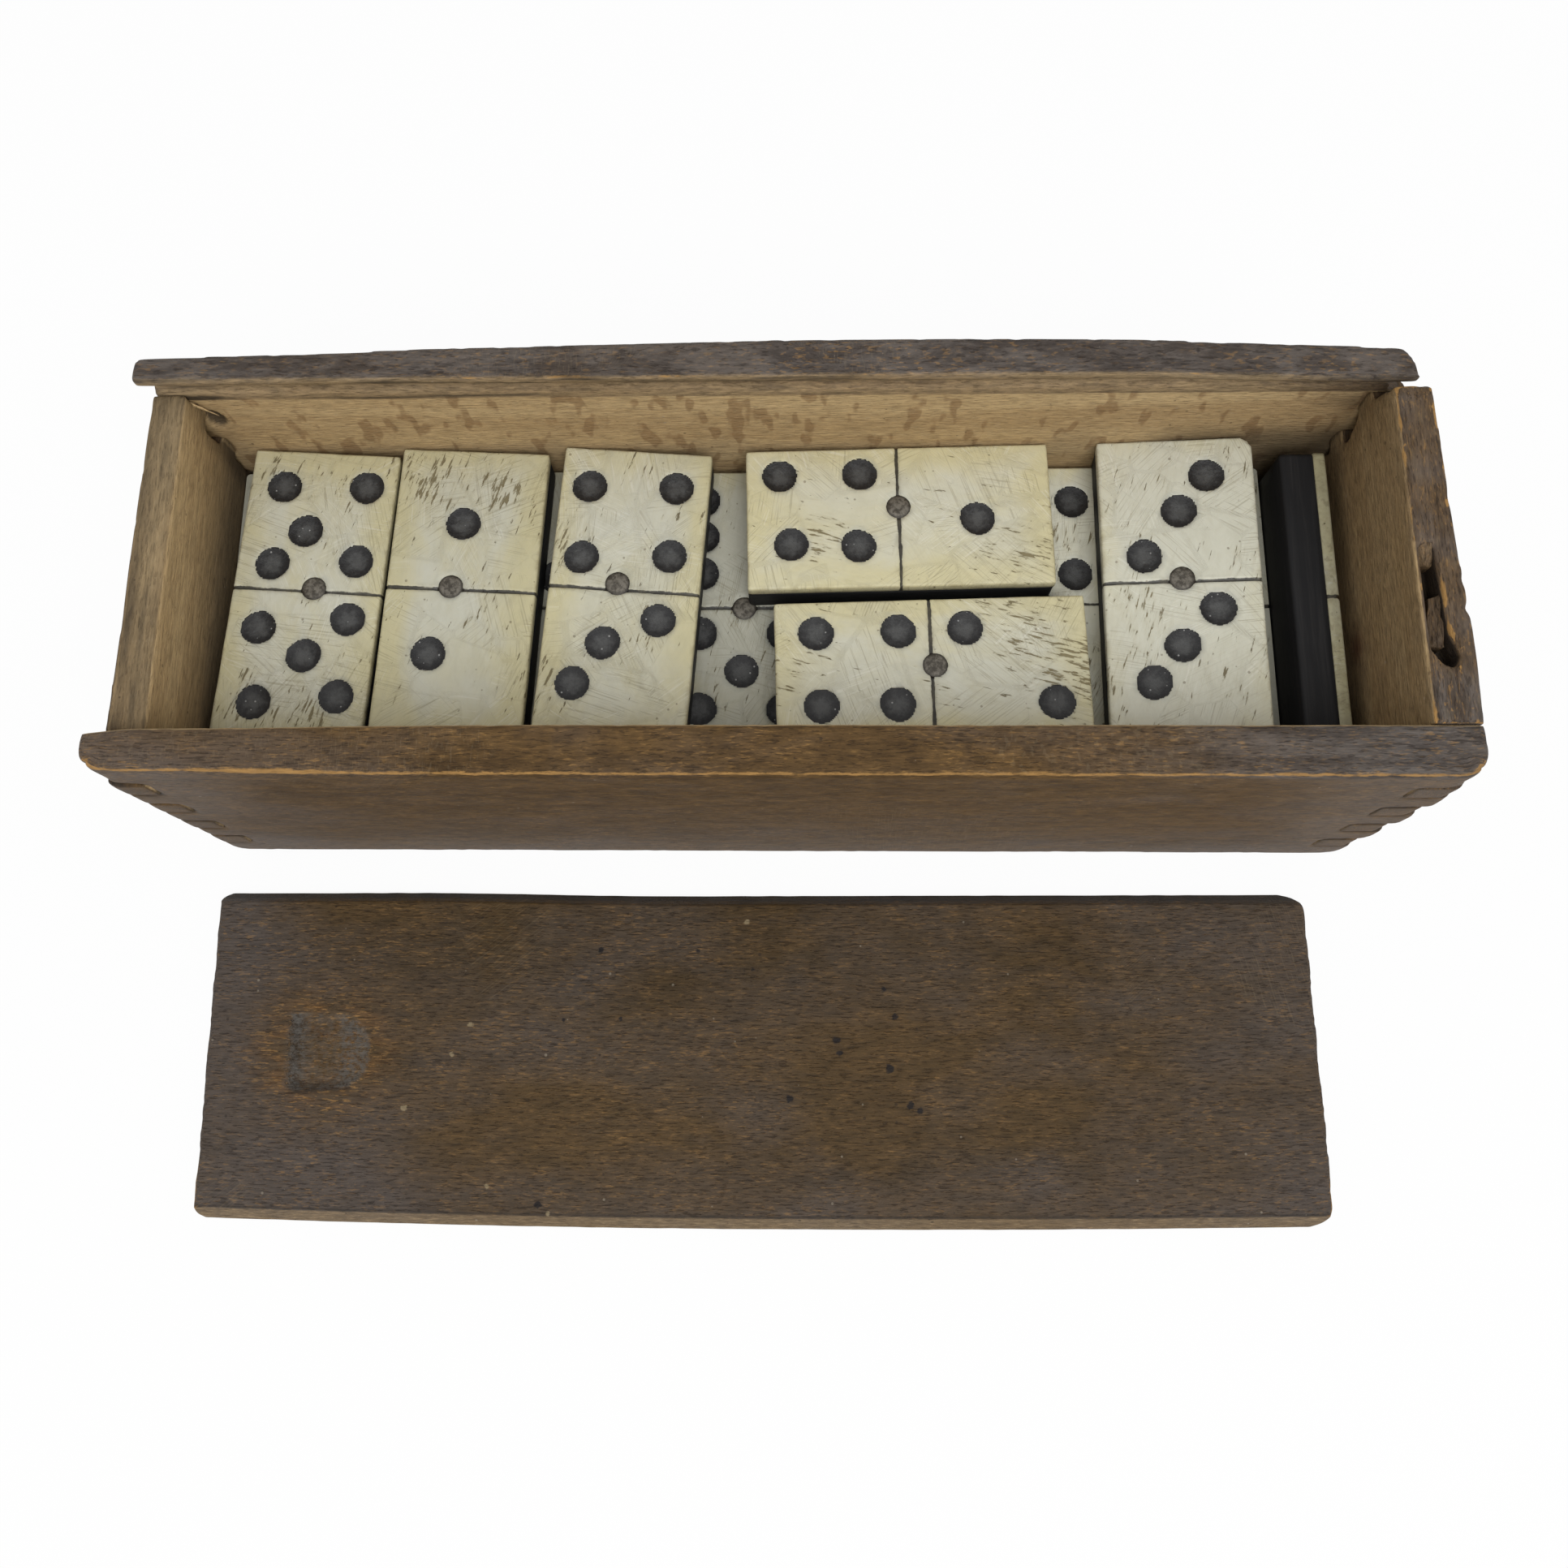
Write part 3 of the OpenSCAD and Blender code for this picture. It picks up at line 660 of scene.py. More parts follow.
def timber_material(name, dark, mid, cool_tone, raw_light, raw_brown, worn, dark_dabs=(), pale_dabs=(), plain=False):
    """Old handled beech, read from marks on the mesh: raw is bare wood, rays brown patches in it, arris rubbed edges,
    hollow painted shade in concave creases, the dirt-and-shade mark real dirt and dark joints with painted shade in
    the cavity, its corners and recesses, cool a greyer tone and on the lid's ends a painted sheen, ash a darker grey,
    rust and dust the colours round the lid's nick, red a stain."""
    t = Coat(name, plain, "grain")
    g = t.place
    bands, fibres, pale, deep = t.use(timber, {"Place": g}, "Bands", "Fibres", "Pale dashes", "Dark dashes")
    arris, hollow, raw, rays, grime, cool, ash, rust, dust, red = (
        t.mark(key) for key in ("arris", "hollow", "raw", "rays", "grime", "cool", "ash", "rust", "dust", "red"))
    blotch = t.noise(g, (0.045, 0.09, 0.09), 5.0, 0.62, 0.5)
    small = t.noise(g, (0.22, 0.5, 0.5), 4.0, 0.65)
    # the dirty, handled skin, whose greyer tone holds a painted sheen on the lid's ends
    t.start(t.step(bands * 0.45 + small * 0.55, 0.33, 0.67), dark, mid)
    t.lay(cool.plus((blotch - 0.5) * 1.6) * 0.78, cool_tone)
    darkening = t.step(t.noise(g, (0.08, 0.40, 0.40), 5.0, 0.7, 0.4), 0.42, 0.60)
    t.lay(ash * 0.8, t.blend(darkening, (0.108, 0.098, 0.092), (0.040, 0.037, 0.037)))
    rub = t.step(small * 0.6 + blotch * 0.5, 0.45, 0.75)
    t.lay(pale * (rub * 0.42 + 0.08).plus(rust * 0.7), worn)
    t.lay(deep * 0.50, (0.018, 0.012, 0.008))
    warm = rust * t.step(t.noise(g, (0.25, 0.8, 0.8), 4.0, 0.65), 0.40, 0.68)
    t.lay(warm * 0.45, (0.17, 0.078, 0.024))
    skin = t.base
    # bare wood
    t.start(t.step(bands, 0.30, 0.70), raw_light, raw_brown)
    t.lay(t.step(t.noise(g, (0.46, 0.17, 0.17), 1.5, 0.45), 0.575, 0.66) * rays, (0.19, 0.100, 0.042))
    t.lay(pale * 0.22, (0.55, 0.44, 0.28))
    t.lay(deep * 0.30, (0.14, 0.085, 0.045))
    raw_mask = t.ragged(raw, 0.55, 0.1, 0.9)
    t.start(raw_mask, skin, t.base)
    # rubbed edges, dirt and painted shade, dust, stains and fibres
    t.lay(t.ragged(arris, 1.0, 0.42, 0.64) * 0.75, worn)
    # painted shade: concave creases, and with real dirt the cavity, its corners and recesses, darkened
    t.lay((hollow * 0.5).plus(grime) * 0.85, (0.024, 0.020, 0.017))
    crust = dust * t.step(t.noise(g, (1.1, 1.3, 1.0), 4.0, 0.75), 0.34, 0.60)
    t.lay(crust * 0.75, (0.105, 0.097, 0.086))
    t.lay(red * 0.7, (0.075, 0.022, 0.012))
    t.brighten(t.add("ShaderNodeMapRange", {"Value": fibres, "From Min": 0.3, "From Max": 0.7,
                                            "To Min": 0.66, "To Max": 1.34}))
    t.lay(t.scratches(0.9, 0.03, 0.6)[0] * 0.10, (0.30, 0.23, 0.14))
    t.lay(t.specks(0.62, 0.90) * 0.38, (0.36, 0.31, 0.24))
    t.lay(t.specks(0.6, 0.8, (0.5, 0.2, 0.9)) * 0.5, (0.015, 0.012, 0.011))
    for places, amount, tone in ((dark_dabs, 0.85, (0.010, 0.010, 0.012)), (pale_dabs, 0.7, (0.28, 0.22, 0.13))):
        if places:
            t.lay(t.dabs(places) * amount, tone)
    return t.finish(fibres * 0.35 + 0.40 + raw_mask * 0.15, fibres - deep * 0.55 + crust * 0.5, 0.00014, 0.8,
                    {"Specular IOR Level": 0.14})


ROW_LINE = 2.4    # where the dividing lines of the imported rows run, from the middle of the case


def bone_material(name, plain=False):
    """Old bone: cream towards its edges, grey-white in the middle, with olive pore streaks and bundles of scratches."""
    t = Coat(name, plain, "local")
    v = t.place
    if plain:
        line = t.maths("ABSOLUTE", t.add("ShaderNodeSeparateXYZ", {"Vector": v}, "Y") - ROW_LINE)
        # the packed rows' bone gets lightness 0.75: painted shade deep in the case
        stain, to_edge, white, streaky, light = 0.0, 5.0, 0.5, 0.0, 0.75
    else:
        line, stain, to_edge, white, streaky, light = (
            t.mark(key) for key in ("line", "stain", "to_edge", "white", "streaky", "light"))
    cloud = t.noise(v, (0.10, 0.055, 0.09), 5.0, 0.6, 0.6)
    cream = cloud + (1 - t.step(to_edge, 0.2, 6.5)) * 0.28 - white * 0.38
    t.start(t.step(cream, 0.22, 0.78), (0.550, 0.545, 0.452), (0.545, 0.500, 0.305))
    t.lay(t.step(t.noise(v, (0.55, 0.3, 0.5), 5.0, 0.7, 0.4), 0.35, 0.75) * 0.22, (0.34, 0.32, 0.22))
    # bundles of scratches, dark ones and pale ones
    relief = 0.0
    for cells, rarity, turn_by, strength, tone in ((0.12, 0.35, 0.0, 0.34, (0.22, 0.19, 0.12)),
                                                   (0.08, 0.40, 2.1, 0.40, (0.22, 0.19, 0.11)),
                                                   (0.15, 0.45, 0.9, 0.26, (0.74, 0.73, 0.66))):
        bundle, ridges = t.scratches(turn_by, cells, rarity)
        t.lay(bundle * strength, tone)
        relief = relief + ridges
    # pore streaks, short and dark, nearly along the tile
    pores = t.noise(t.scaled(v, turn_by=0.28), (2.1, 0.34, 1.0), 3.0, 0.6, 0.3)
    fields = t.step(t.noise(v, (0.13, 0.10, 0.1), 3.0, 0.6, 0.0, -0.3), 0.50, 0.72)
    fields = (fields * 0.55).plus(streaky)
    streak = t.step(pores - (0.70 - fields * 0.165), -0.01, 0.04)
    t.lay(streak * 0.88, (0.085, 0.063, 0.028))
    t.lay(t.step(pores, 0.42, 0.68) * (fields * 0.50), (0.30, 0.255, 0.135))
    # dirt at the edges and smoke round the pips
    patchy = t.step(t.noise(v, (0.5, 0.5, 0.5), 4.0, 0.65), 0.42, 0.68)
    t.lay((1 - t.step(to_edge, 0.1, 0.8)) * patchy * 0.38, (0.22, 0.18, 0.09))
    smoke = t.step(t.noise(v, (0.7, 0.7, 0.7), 3.0, 0.6), 0.25, 0.7) * stain
    t.lay(smoke * 0.36, (0.20, 0.215, 0.21))
    # the dividing line is blackened, wider in places
    width = t.noise(v, (0.35, 0.8, 0.8), 4.0, 0.7) * 0.62 - 0.06
    t.lay((1 - t.step(line - width, -0.05, 0.05)) * 0.95, (0.020, 0.018, 0.016))
    t.lay((1 - t.step(line, 0.2, 1.1)) * patchy * 0.28, (0.16, 0.14, 0.09))
    t.lay(t.specks(0.7, 0.6) * 0.55, (0.12, 0.09, 0.05))
    # painted light and shade: the bone brightened or darkened by the tile's lightness
    t.brighten(light)
    return t.finish(cloud * 0.2 + 0.36 + streak * 0.3, relief * -0.5 - streak * 0.9, 0.00007, 0.7,
                    {"Specular IOR Level": 0.35, "Subsurface Weight": 0.06,
                     "Subsurface Radius": (0.0012, 0.0009, 0.0006)})


def ebony_material(name, plain=False):
    """Ebony: near black with faint streaks along the tile and a dull, dry surface."""
    t = Coat(name, plain, "local")
    streak = t.noise(t.place, (1.6, 0.06, 1.6), 4.0, 0.6, 0.3)
    t.start(t.step(streak, 0.4, 0.8), (0.010, 0.010, 0.011), (0.021, 0.020, 0.020))
    t.lay(t.specks(0.45, 0.6) * 0.25, (0.12, 0.11, 0.10))
    return t.finish(streak * 0.25 + 0.50, streak, 0.00006, 0.6, {"Specular IOR Level": 0.22})


def pip_material(name, plain=False):
    """Black stain in the pips, with painted shade darkest round the wall, a painted grey reflection in the middle and
    small pale specks as painted glints.
    """
    t = Coat(name, plain, "local")
    # painted reflection and shade: the noise and hub make the dish grey in its middle and black at its wall; the noise
    # also sets the roughness
    rubbed = t.noise(t.place, (1.1, 1.1, 1.1), 5.0, 0.75)
    centre = t.step(t.mark("hub") + (rubbed - 0.5) * 2.2, -0.05, 1.15)
    t.start(centre, (0.010, 0.010, 0.011), (0.066, 0.067, 0.066))
    # painted glints: small pale specks
    t.lay(t.specks(1.0, 0.45) * 0.75, (0.36, 0.36, 0.35))
    return t.finish(rubbed * 0.3 + 0.30, t.noise(t.place, (2.6, 2.6, 2.6), 5.0, 0.75), 0.00014, 0.8, {})


def pin_material(name, plain=False):
    """Tarnished brass: brown and grey, with painted shade round the edge of the dome."""
    t = Coat(name, plain, "local")
    tarnish = t.noise(t.place, (1.3, 1.3, 1.3), 5.0, 0.7)
    t.start(t.step(tarnish, 0.38, 0.62), (0.060, 0.052, 0.040), (0.185, 0.168, 0.138))
    if not plain:
        # painted shade round the edge of the dome
        t.lay(1 - t.mark("hub"), (0.022, 0.018, 0.013))
    t.lay(t.specks(1.6, 0.6) * 0.5, (0.02, 0.018, 0.015))
    return t.finish(tarnish * 0.3 + 0.32, tarnish, 0.00013, 0.8, {"Metallic": 0.35})


LID_GRAIN_SHIFT = 300.0    # keeps the lid's figure different from the case's
# dark and pale dabs on the lid: x, y, radius
INK_DABS = ((21.2, 6.1, 0.42), (12.2, 2.6, 0.55), (12.7, 0.6, 0.4), (20.2, -1.7, 0.62), (5.0, -6.2, 0.5),
            (23.2, -7.2, 0.5), (24.6, -8.0, 0.45), (-24.2, 16.3, 0.4), (-9.1, 16.4, 0.28), (-20.9, 5.7, 0.3),
            (-29.7, 5.4, 0.22), (19.5, 10.3, 0.3), (-0.5, 13.4, 0.25), (-32.6, -22.0, 0.5))
PALE_DABS = ((-53.7, -8.3, 0.42), (-46.8, -0.2, 0.3), (-44.1, 4.4, 0.35), (-40.4, -19.5, 0.3), (-31.1, -23.3, 0.25),
             (-1.5, 20.8, 0.35))
on_lid, pale_on_lid = ([(x + LID_GRAIN_SHIFT, y, r) for x, y, r in places] for places in (INK_DABS, PALE_DABS))

BARE_LIGHT, BARE_BROWN = (0.53, 0.385, 0.205), (0.41, 0.280, 0.140)
case_wood = timber_material("Case timber", (0.060, 0.034, 0.013), (0.122, 0.070, 0.026), (0.106, 0.082, 0.066),
                            BARE_LIGHT, BARE_BROWN, (0.37, 0.205, 0.064))
panel_wood = timber_material("Panel timber", (0.30, 0.21, 0.12), (0.38, 0.27, 0.15), (0.2, 0.16, 0.12),
                             BARE_LIGHT, BARE_BROWN, (0.36, 0.190, 0.062), plain=True)
lid_wood = timber_material("Lid timber", (0.051, 0.0325, 0.0145), (0.090, 0.0545, 0.0230), (0.078, 0.066, 0.060),
                           (0.27, 0.190, 0.105), (0.19, 0.130, 0.070), (0.27, 0.150, 0.052), on_lid, pale_on_lid)
bone, row_bone = bone_material("Bone"), bone_material("Packed bone", True)
ebony, row_ebony = ebony_material("Ebony"), ebony_material("Packed ebony", True)
pip_black, row_pip = pip_material("Pip filling"), pip_material("Packed pip filling", True)
brass, row_brass = pin_material("Tarnished brass"), pin_material("Packed brass", True)


# ---------------------------------------------------------------- case

def bump_at(values, middle, width):
    """A smooth hump of height 1 round the middle."""
    return np.exp(-(((values - middle) / width) ** 2))


def cavity_shade(points):
    """Painted shade down in the cavity and in its upright corners: the walls darker lower down and near the corners."""
    x, y, z = points.T
    within = (x > INNER_LEFT - 0.6) & (x < INNER_RIGHT + 0.6) & (y > INNER_FRONT - 0.6) & (y < INNER_BACK + 0.6)
    corner = np.minimum(np.minimum(x - INNER_LEFT, INNER_RIGHT - x), np.minimum(y - INNER_FRONT, INNER_BACK - y))
    low = 0.35 * (1 - ramp(z, 24, 40))
    ends = np.minimum(np.abs(x - INNER_LEFT), np.abs(INNER_RIGHT - x))
    sides = np.minimum(np.abs(y - INNER_FRONT), np.abs(INNER_BACK - y))
    near = 0.3 * (1 - ramp(np.maximum(ends, sides), 0.5, 5.0)) * (z < 46)
    return np.where(within & (corner < 0.6), low + near, 0.0)


def top_rub(z):
    """1 on the top edge of a wall of full height."""
    return ramp(z, CASE_H - 1.6, CASE_H - 0.6)


def joint_seams(points):
    """Dark seams round the fingers' ends: the edges of four rectangles at each corner, broken by noise."""
    x, y, z = points.T
    level = (z - FINGER_LOW) % FINGER_PITCH
    flat = np.minimum(np.minimum(level, np.abs(level - FINGER_H)), FINGER_PITCH - level)
    upright = np.where((np.abs(y) > 25.9) | (y < -24), np.minimum(np.abs(x - INNER_LEFT), np.abs(x - INNER_RIGHT)), 9.0)
    upright = np.where(level < FINGER_H + 0.2, upright, 9.0)
    beyond = (x < INNER_LEFT + 0.3) | (x > INNER_RIGHT - 0.3)
    near = np.minimum(np.where(beyond, flat, 9.0), upright)
    outside = ((y < -28.8) | (y > 29) | (np.abs(x) > 87)) & (z > 5) & (z < 44.2)
    broken = np.clip(0.55 + 0.9 * flat_noise(x + y, z, (3.0, 2.2, 1.0), 34), 0, 1)
    return 0.85 * outside * (1 - ramp(near, 0.12, 0.50)) * broken


def front_marks(points, normals):
    x, y, z = points.T
    inside = ramp(normals[:, 1], 0.3, 0.8) * (y > INNER_FRONT - 1.6)
    cool = -0.15 + 0.7 * (1 - ramp(x, -84, -52)) + 0.6 * ramp(x, 40, 85)
    cool += 0.5 * (1 - ramp(z, 2, 18)) + 0.3 * top_rub(z) + 0.35 * flat_noise(x, y + z, (13.0, 7.0, 1.0), 33)
    return {"raw": 0.7 * inside, "grime": cavity_shade(points) + joint_seams(points), "cool": np.clip(cool, 0, 1),
            "ash": 0.85 * top_rub(z) * ramp(x, 35, 70)}


def front_rub(points):
    """Bare along the outer top arris, wide where thumbs rubbed it left of the middle; the finger joints stay dark."""
    x, y, z = points.T
    outer = (y < INNER_FRONT - 4.5) * top_rub(z) * (1.15 + 0.6 * bump_at(x, -64, 6))
    joint = (y < -28.6) * (z < 47) * (np.abs(x) > 80)
    return np.maximum(outer, 0.40) * (1 - joint)


def rounded_corner(points, x, y, radius, weight):
    """Squares off to a circle the outer upright corner at (+-x, y) in plan, wherever weight is not 0."""
    across, along = np.abs(points[:, 0]) - (x - radius), (y + radius) - points[:, 1]
    far = np.maximum(np.hypot(across, along), 1e-6)
    share = weight * (across > 0) * (along > 0) * (1 - np.maximum(across, along) / far)
    moved = points.copy()
    moved[:, 0] -= np.sign(points[:, 0]) * across * share
    moved[:, 1] += along * share
    return moved


def front_break(points, start):
    """Ends worn out of true: the left reaches further at its top and bends in, the right leans out half way down."""
    x, y, z = start.T
    points = rounded_corner(points, 88, -30.25, 3.6, ramp(z, 42, 46))
    left, right = ramp(-x, 76, 87.5), ramp(x, 76, 87.5)
    moved = points.copy()
    top = ramp(z, 40, 48)
    moved[:, 0] += -1.15 * left * top + right * (0.5 + 0.75 * bump_at(z, 24, 16) * (y < -26))
    lip = ramp(y, -26.0, -24.2) * ramp(z, 47.8, 48.8)
    moved[:, 1] -= lip * (0.55 * ramp(-x, 30, 84) + 0.7 * ramp(-x, 81, 89))
    moved[:, 1] += 0.45 * (1 - ramp(y, -29.8, -27.5)) * ramp(-x, 45, 86) * top
    return moved


def back_marks(points, normals):
    x, y, z = points.T
    inside = ramp(-normals[:, 1], 0.1, 0.6) * (y < INNER_BACK + 2.2)
    groove = (z > GROOVE_Z - 0.3) & (z < CASE_H - 1.2) & (y > INNER_BACK + 0.2) & (y < INNER_BACK + 2.2)
    lip = (z > 44.3) & (y < INNER_BACK + 2.2)
    streak = np.clip(flat_noise(x, z, (9.0, 0.45, 1.0), 31) + 0.5 * flat_noise(x, z, (30.0, 1.5, 1.0), 32) - 0.12, 0, 1)
    # painted shade: the hollow under the back-left splinter and the face low behind the right-hand tiles are darkened;
    # darkening also adds a dark spot near the right end below the lip
    cavity = ramp(1.2 - np.hypot((x + 81.2) / 1.3, (z - 38.7) / 2.2), 0, 0.35)
    shade = ramp(x, 50, 62) * (1 - ramp(z, 31, 37)) * inside
    darkening = bump_at(x, 80, 5) * bump_at(z, 42, 2.2) + 1.3 * shade
    bare = np.clip(inside + groove, 0, 1)
    return {"raw": bare * (1 - 0.52 * lip - 0.25 * ramp(x, 62, 82)), "rays": 0.52 * inside * (z < 44.5),
            "grime": 0.4 * cavity_shade(points) + 1.3 * streak * lip * bare + (0.95 * cavity + 0.5 * darkening) * (y < 28)
            + joint_seams(points),
            "cool": 0.85 + 0.15 * np.sin(x / 23), "ash": 0.8 * top_rub(z)}


def back_rub(points):
    x, y, z = points.T
    inner = (y < INNER_BACK + 1.4) * top_rub(z) * (0.48 + 0.5 * flat_noise(x, y, (7.0, 5.0, 1.0), 35))
    return np.maximum(inner, 0.25) * (np.abs(x) < 86)


def back_break(points, start):
    """Bowed outwards between its ends, the lip leaning in and most so at the right, and both ends out of true."""
    x, y, z = start.T
    moved = points.copy()
    span = np.clip((x + 75) / 155, 0, 1)
    outer, upper = ramp(y, 27.2, 29.4), ramp(z, 47.8, 48.8)
    moved[:, 1] += 1.05 * np.sin(np.pi * span ** 1.4) * outer
    moved[:, 1] -= (0.5 + 0.85 * ramp(x, 45, 80)) * (1 - ramp(y, 26.0, 29.0)) * upper
    notch = 2.0 * ramp(z, 43.4, 44.6) * (1 - upper)
    moved[:, 0] -= ramp(x, 76, 87) * (1.25 * ramp(z, 42, 45) + notch)
    moved[:, 0] -= 1.25 * ramp(-x, 78, 87) * upper
    hollow = ramp(1.3 - np.hypot((x + 81.2) / 1.3, (z - 38.7) / 2.2), 0, 0.6) * (y < 27.2)
    moved[:, 1] += 0.7 * hollow
    return moved


def left_marks(points, normals):
    x, y, z = points.T
    top = ramp(normals[:, 2], 0.3, 0.8) * (z > 44) * ramp(x, -88.0, -86.8)
    inside = ramp(normals[:, 0], 0.3, 0.8)
    outer = 1 - ramp(x, -87.4, -84.6)
    uneven = 0.10 * flat_noise(x, y, (0.8, 6.0, 1.0), 41) + 0.10 * flat_noise(x, y, (3.0, 9.0, 1.0), 43)
    handled = (0.68 + uneven + 0.22 * outer) * top
    seam = bump_at(x, -84.6, 0.20) * (z > 45.2) * np.clip(0.6 + flat_noise(y, z, (5.0, 5.0, 1.0), 42), 0, 1)
    # painted shade: the inner face darker lower down
    low = 0.45 * inside * (1 - ramp(z, 30, 44))
    return {"raw": np.clip(top + 0.80 * inside, 0, 1),
            "grime": cavity_shade(points) + low + handled + 0.35 * seam + joint_seams(points),
            "cool": 0.35 + 0.3 * outer}


def left_rub(points):
    return 0.12 * (np.abs(points[:, 1]) < 25)


def left_break(points, start):
    """Broken away at the inner corner with the back wall, in a ledge under the groove that tapers to nothing below."""
    x, y, z = start.T
    bite = np.interp(z, [25, 29, 34, 38, 38.9, 39.8], [0, 0.4, 0.9, 1.5, 1.3, 0])
    bite *= 1 + 0.2 * grain_noise(start, (3, 3, 1.3), 51)
    near = ramp(y, 20.6, 25.6) * ramp(x, -84.7, -83.1)
    moved = points.copy()
    moved[:, 1] -= bite * near
    return moved


def right_marks(points, normals):
    x, y, z = points.T
    inside = ramp(-normals[:, 0], 0.3, 0.8) * (x < INNER_RIGHT + 1)
    # painted shade: the inside of the worn hole is darkened fully
    pocket = (x > INNER_RIGHT + 0.9) & (x < 86.3) & (y > -16.4) & (y < 0.9) & (z < 49.6) & (z > 44.8)
    rim = bump_at(x, INNER_RIGHT + 0.1, 0.4) * (y > -16.4) * (y < 0.9) * ramp(z, 49.4, 49.9)
    red = bump_at(y, -6.3, 2.6) * bump_at(z, 30.4, 2.4) * inside
    mottle = np.clip(flat_noise(x, y, (3.0, 3.6, 1.0), 61) + 0.15, 0, 1)
    top = ramp(normals[:, 2], 0.5, 0.9) * (z > 49)
    patches = 0.6 * (flat_noise(x, y, (1.1, 1.9, 1.0), 63) + flat_noise(x, y, (0.45, 0.8, 1.0), 64))
    spots = top * ramp(patches + 0.10 * bump_at(x, 86.2, 1.0), 0.36, 0.62)
    return {"raw": 0.50 * inside + 0.2 * rim, "grime": 0.4 * cavity_shade(points) + pocket + joint_seams(points),
            "cool": 0.15 + 0.55 * mottle * (z > 49) + 0.3 * (z < 49), "red": red,
            "spots": (0.38 + 0.12 * bump_at(x, 83.2, 1.2)) * spots,
            "ash": (0.30 + 0.55 * (1 - ramp(y, -21, -14))) * top_rub(z)}


def right_rub(points):
    x, y, z = points.T
    uneven = 0.80 + 0.6 * flat_noise(x, y, (5.0, 2.2, 1.0), 62)
    beside_hole = (x < INNER_RIGHT + 1.0) * (y > -17) * (y < 1)
    return np.maximum(top_rub(z) * uneven * 1.1, 0.25) * (np.abs(y) < 27) * (1 - 0.7 * beside_hole)


def right_break(points, start):
    """Broken back from the back wall, deepest at its top and half way down, with small steps in its outer arris."""
    x, y, z = start.T
    bite = np.interp(z, [26, 28, 31, 34, 37, 40, 43, 46.5, 49, 51], [0, 0.7, 1.6, 2.2, 1.1, 0.1, 0.7, 1.7, 2.4, 2.5])
    bite *= 1 + 0.16 * grain_noise(start, (3, 3, 1.2), 52)
    across = np.maximum(ramp(z, 44.2, 45.6), 1 - ramp(x, 82.4, 84.8))
    moved = points.copy()
    moved[:, 1] -= bite * ramp(y, 20.6, 25.6) * across
    outer = ramp(x, 86.0, 87.4) * ramp(z, 46.0, 49.5)
    moved[:, 0] += outer * (0.65 * bump_at(y, -14, 12) - 0.35 * bump_at(y, -8.2, 0.8) - 0.25 * bump_at(y, -4.4, 0.9)
                            - 0.15 * bump_at(y, 7, 1.2))
    return moved


worn_copy("front_wall", 0.5, [0, 2, 1], front_marks, front_rub, front_break)
worn_copy("back_wall", 0.48, [0, 2, 1], back_marks, back_rub, back_break)
worn_copy("left_end", 0.36, [1, 2, 0], left_marks, left_rub, left_break)
worn_copy("right_end", 0.36, [1, 2, 0], right_marks, right_rub, right_break)


def torn_wedge(corners, heights, seed):
    """Patch of torn wood: a grid between four corners and their heights, roughened along the grain and closed below."""
    v, u = np.meshgrid(np.linspace(0, 1, 40), np.linspace(0, 1, 24), indexing="ij")
    weights = [(1 - u) * (1 - v), u * (1 - v), u * v, (1 - u) * v]
    x, y, z = (sum(w * c for w, c in zip(weights, values)) for values in (*zip(*corners), heights))
    rim = np.minimum(np.minimum(u, 1 - u), np.minimum(v, 1 - v))
    x = x + 0.18 * flat_noise(x, y, (0.6, 1.4, 1.0), seed) * (rim < 0.04)
    z = z + 0.35 * flat_noise(x, y, (0.55, 2.2, 1.0), seed + 5) + 0.12 * flat_noise(x, y, (0.25, 0.9, 1.0), seed + 6)
    return skirted(np.stack([x, y, np.minimum(z, CASE_H - 0.25)], -1), [(0.0, 0.4, None), (0.0, None, 45.7)])


def sliver(start, end, half_width, half_depth):
    """A lifted splinter: flat oval rings from start to end that swell quickly, shrink to a point and are closed."""
    start, end = np.array(start, float), np.array(end, float)
    t = np.linspace(0, 1, 26)[1:-1, None]
    a = np.linspace(0, 2 * np.pi, 14, endpoint=False)[None, :]
    size = np.minimum(1, 5 * t) ** 0.5 * (1 - t) ** 0.7
    centre = start + (end - start) * t[..., None] * np.ones_like(a)[..., None]
    rise = size * half_width * np.cos(a) * (1 + 0.3 * np.sin(17 * t))
    depth = size * half_depth * np.sin(a)
    rings = centre + np.stack([0.45 * rise, depth, 0.9 * rise], -1)
    n, m = rings.shape[:2]
    points = np.concatenate([rings.reshape(-1, 3), [start], [end]])
    loops = np.arange(n * m).reshape(n, m)
    faces = [band_faces(upper, lower) for upper, lower in zip(loops, loops[1:])]
    faces.append(np.stack([np.full(m, n * m), loops[0], np.roll(loops[0], -1)], -1))
    faces.append(np.stack([np.full(m, n * m + 1), np.roll(loops[-1], -1), loops[-1]], -1))
    return points, faces


def splinters():
    """Torn wood: wedges at the back end and along the outside of the worn hole, and a splinter at the back left."""
    parts = [torn_wedge(((82.45, -1.6), (84.55, -1.9), (84.4, 1.2), (82.5, 1.2)), (48.4, 48.8, 49.9, 49.8), 71),
             torn_wedge(((83.2, -12.6), (84.9, -12.9), (84.8, -6.0), (83.5, -6.4)), (48.0, 49.0, 49.5, 48.6), 72),
             sliver((-83.3, 25.7, 43.9), (-79.6, 25.1, 41.0), 0.38, 0.2)]
    points, faces = merged(parts)
    x, y = points[:, 0], points[:, 1]
    light = np.where(x < 0, 0.8, np.where(y > -4, 0.25, 0.06))
    marks = {"grain": points[:, [1, 2, 0]], "raw": light, "grime": np.where(light > 0.1, 0.0, 0.3),
             "arris": 0.3 * (light > 0.2), "cool": np.full(len(points), 0.6)}
    make_piece("torn_splinters", points, faces, "case", case_wood, None, marks)


splinters()


# ---------------------------------------------------------------- lid

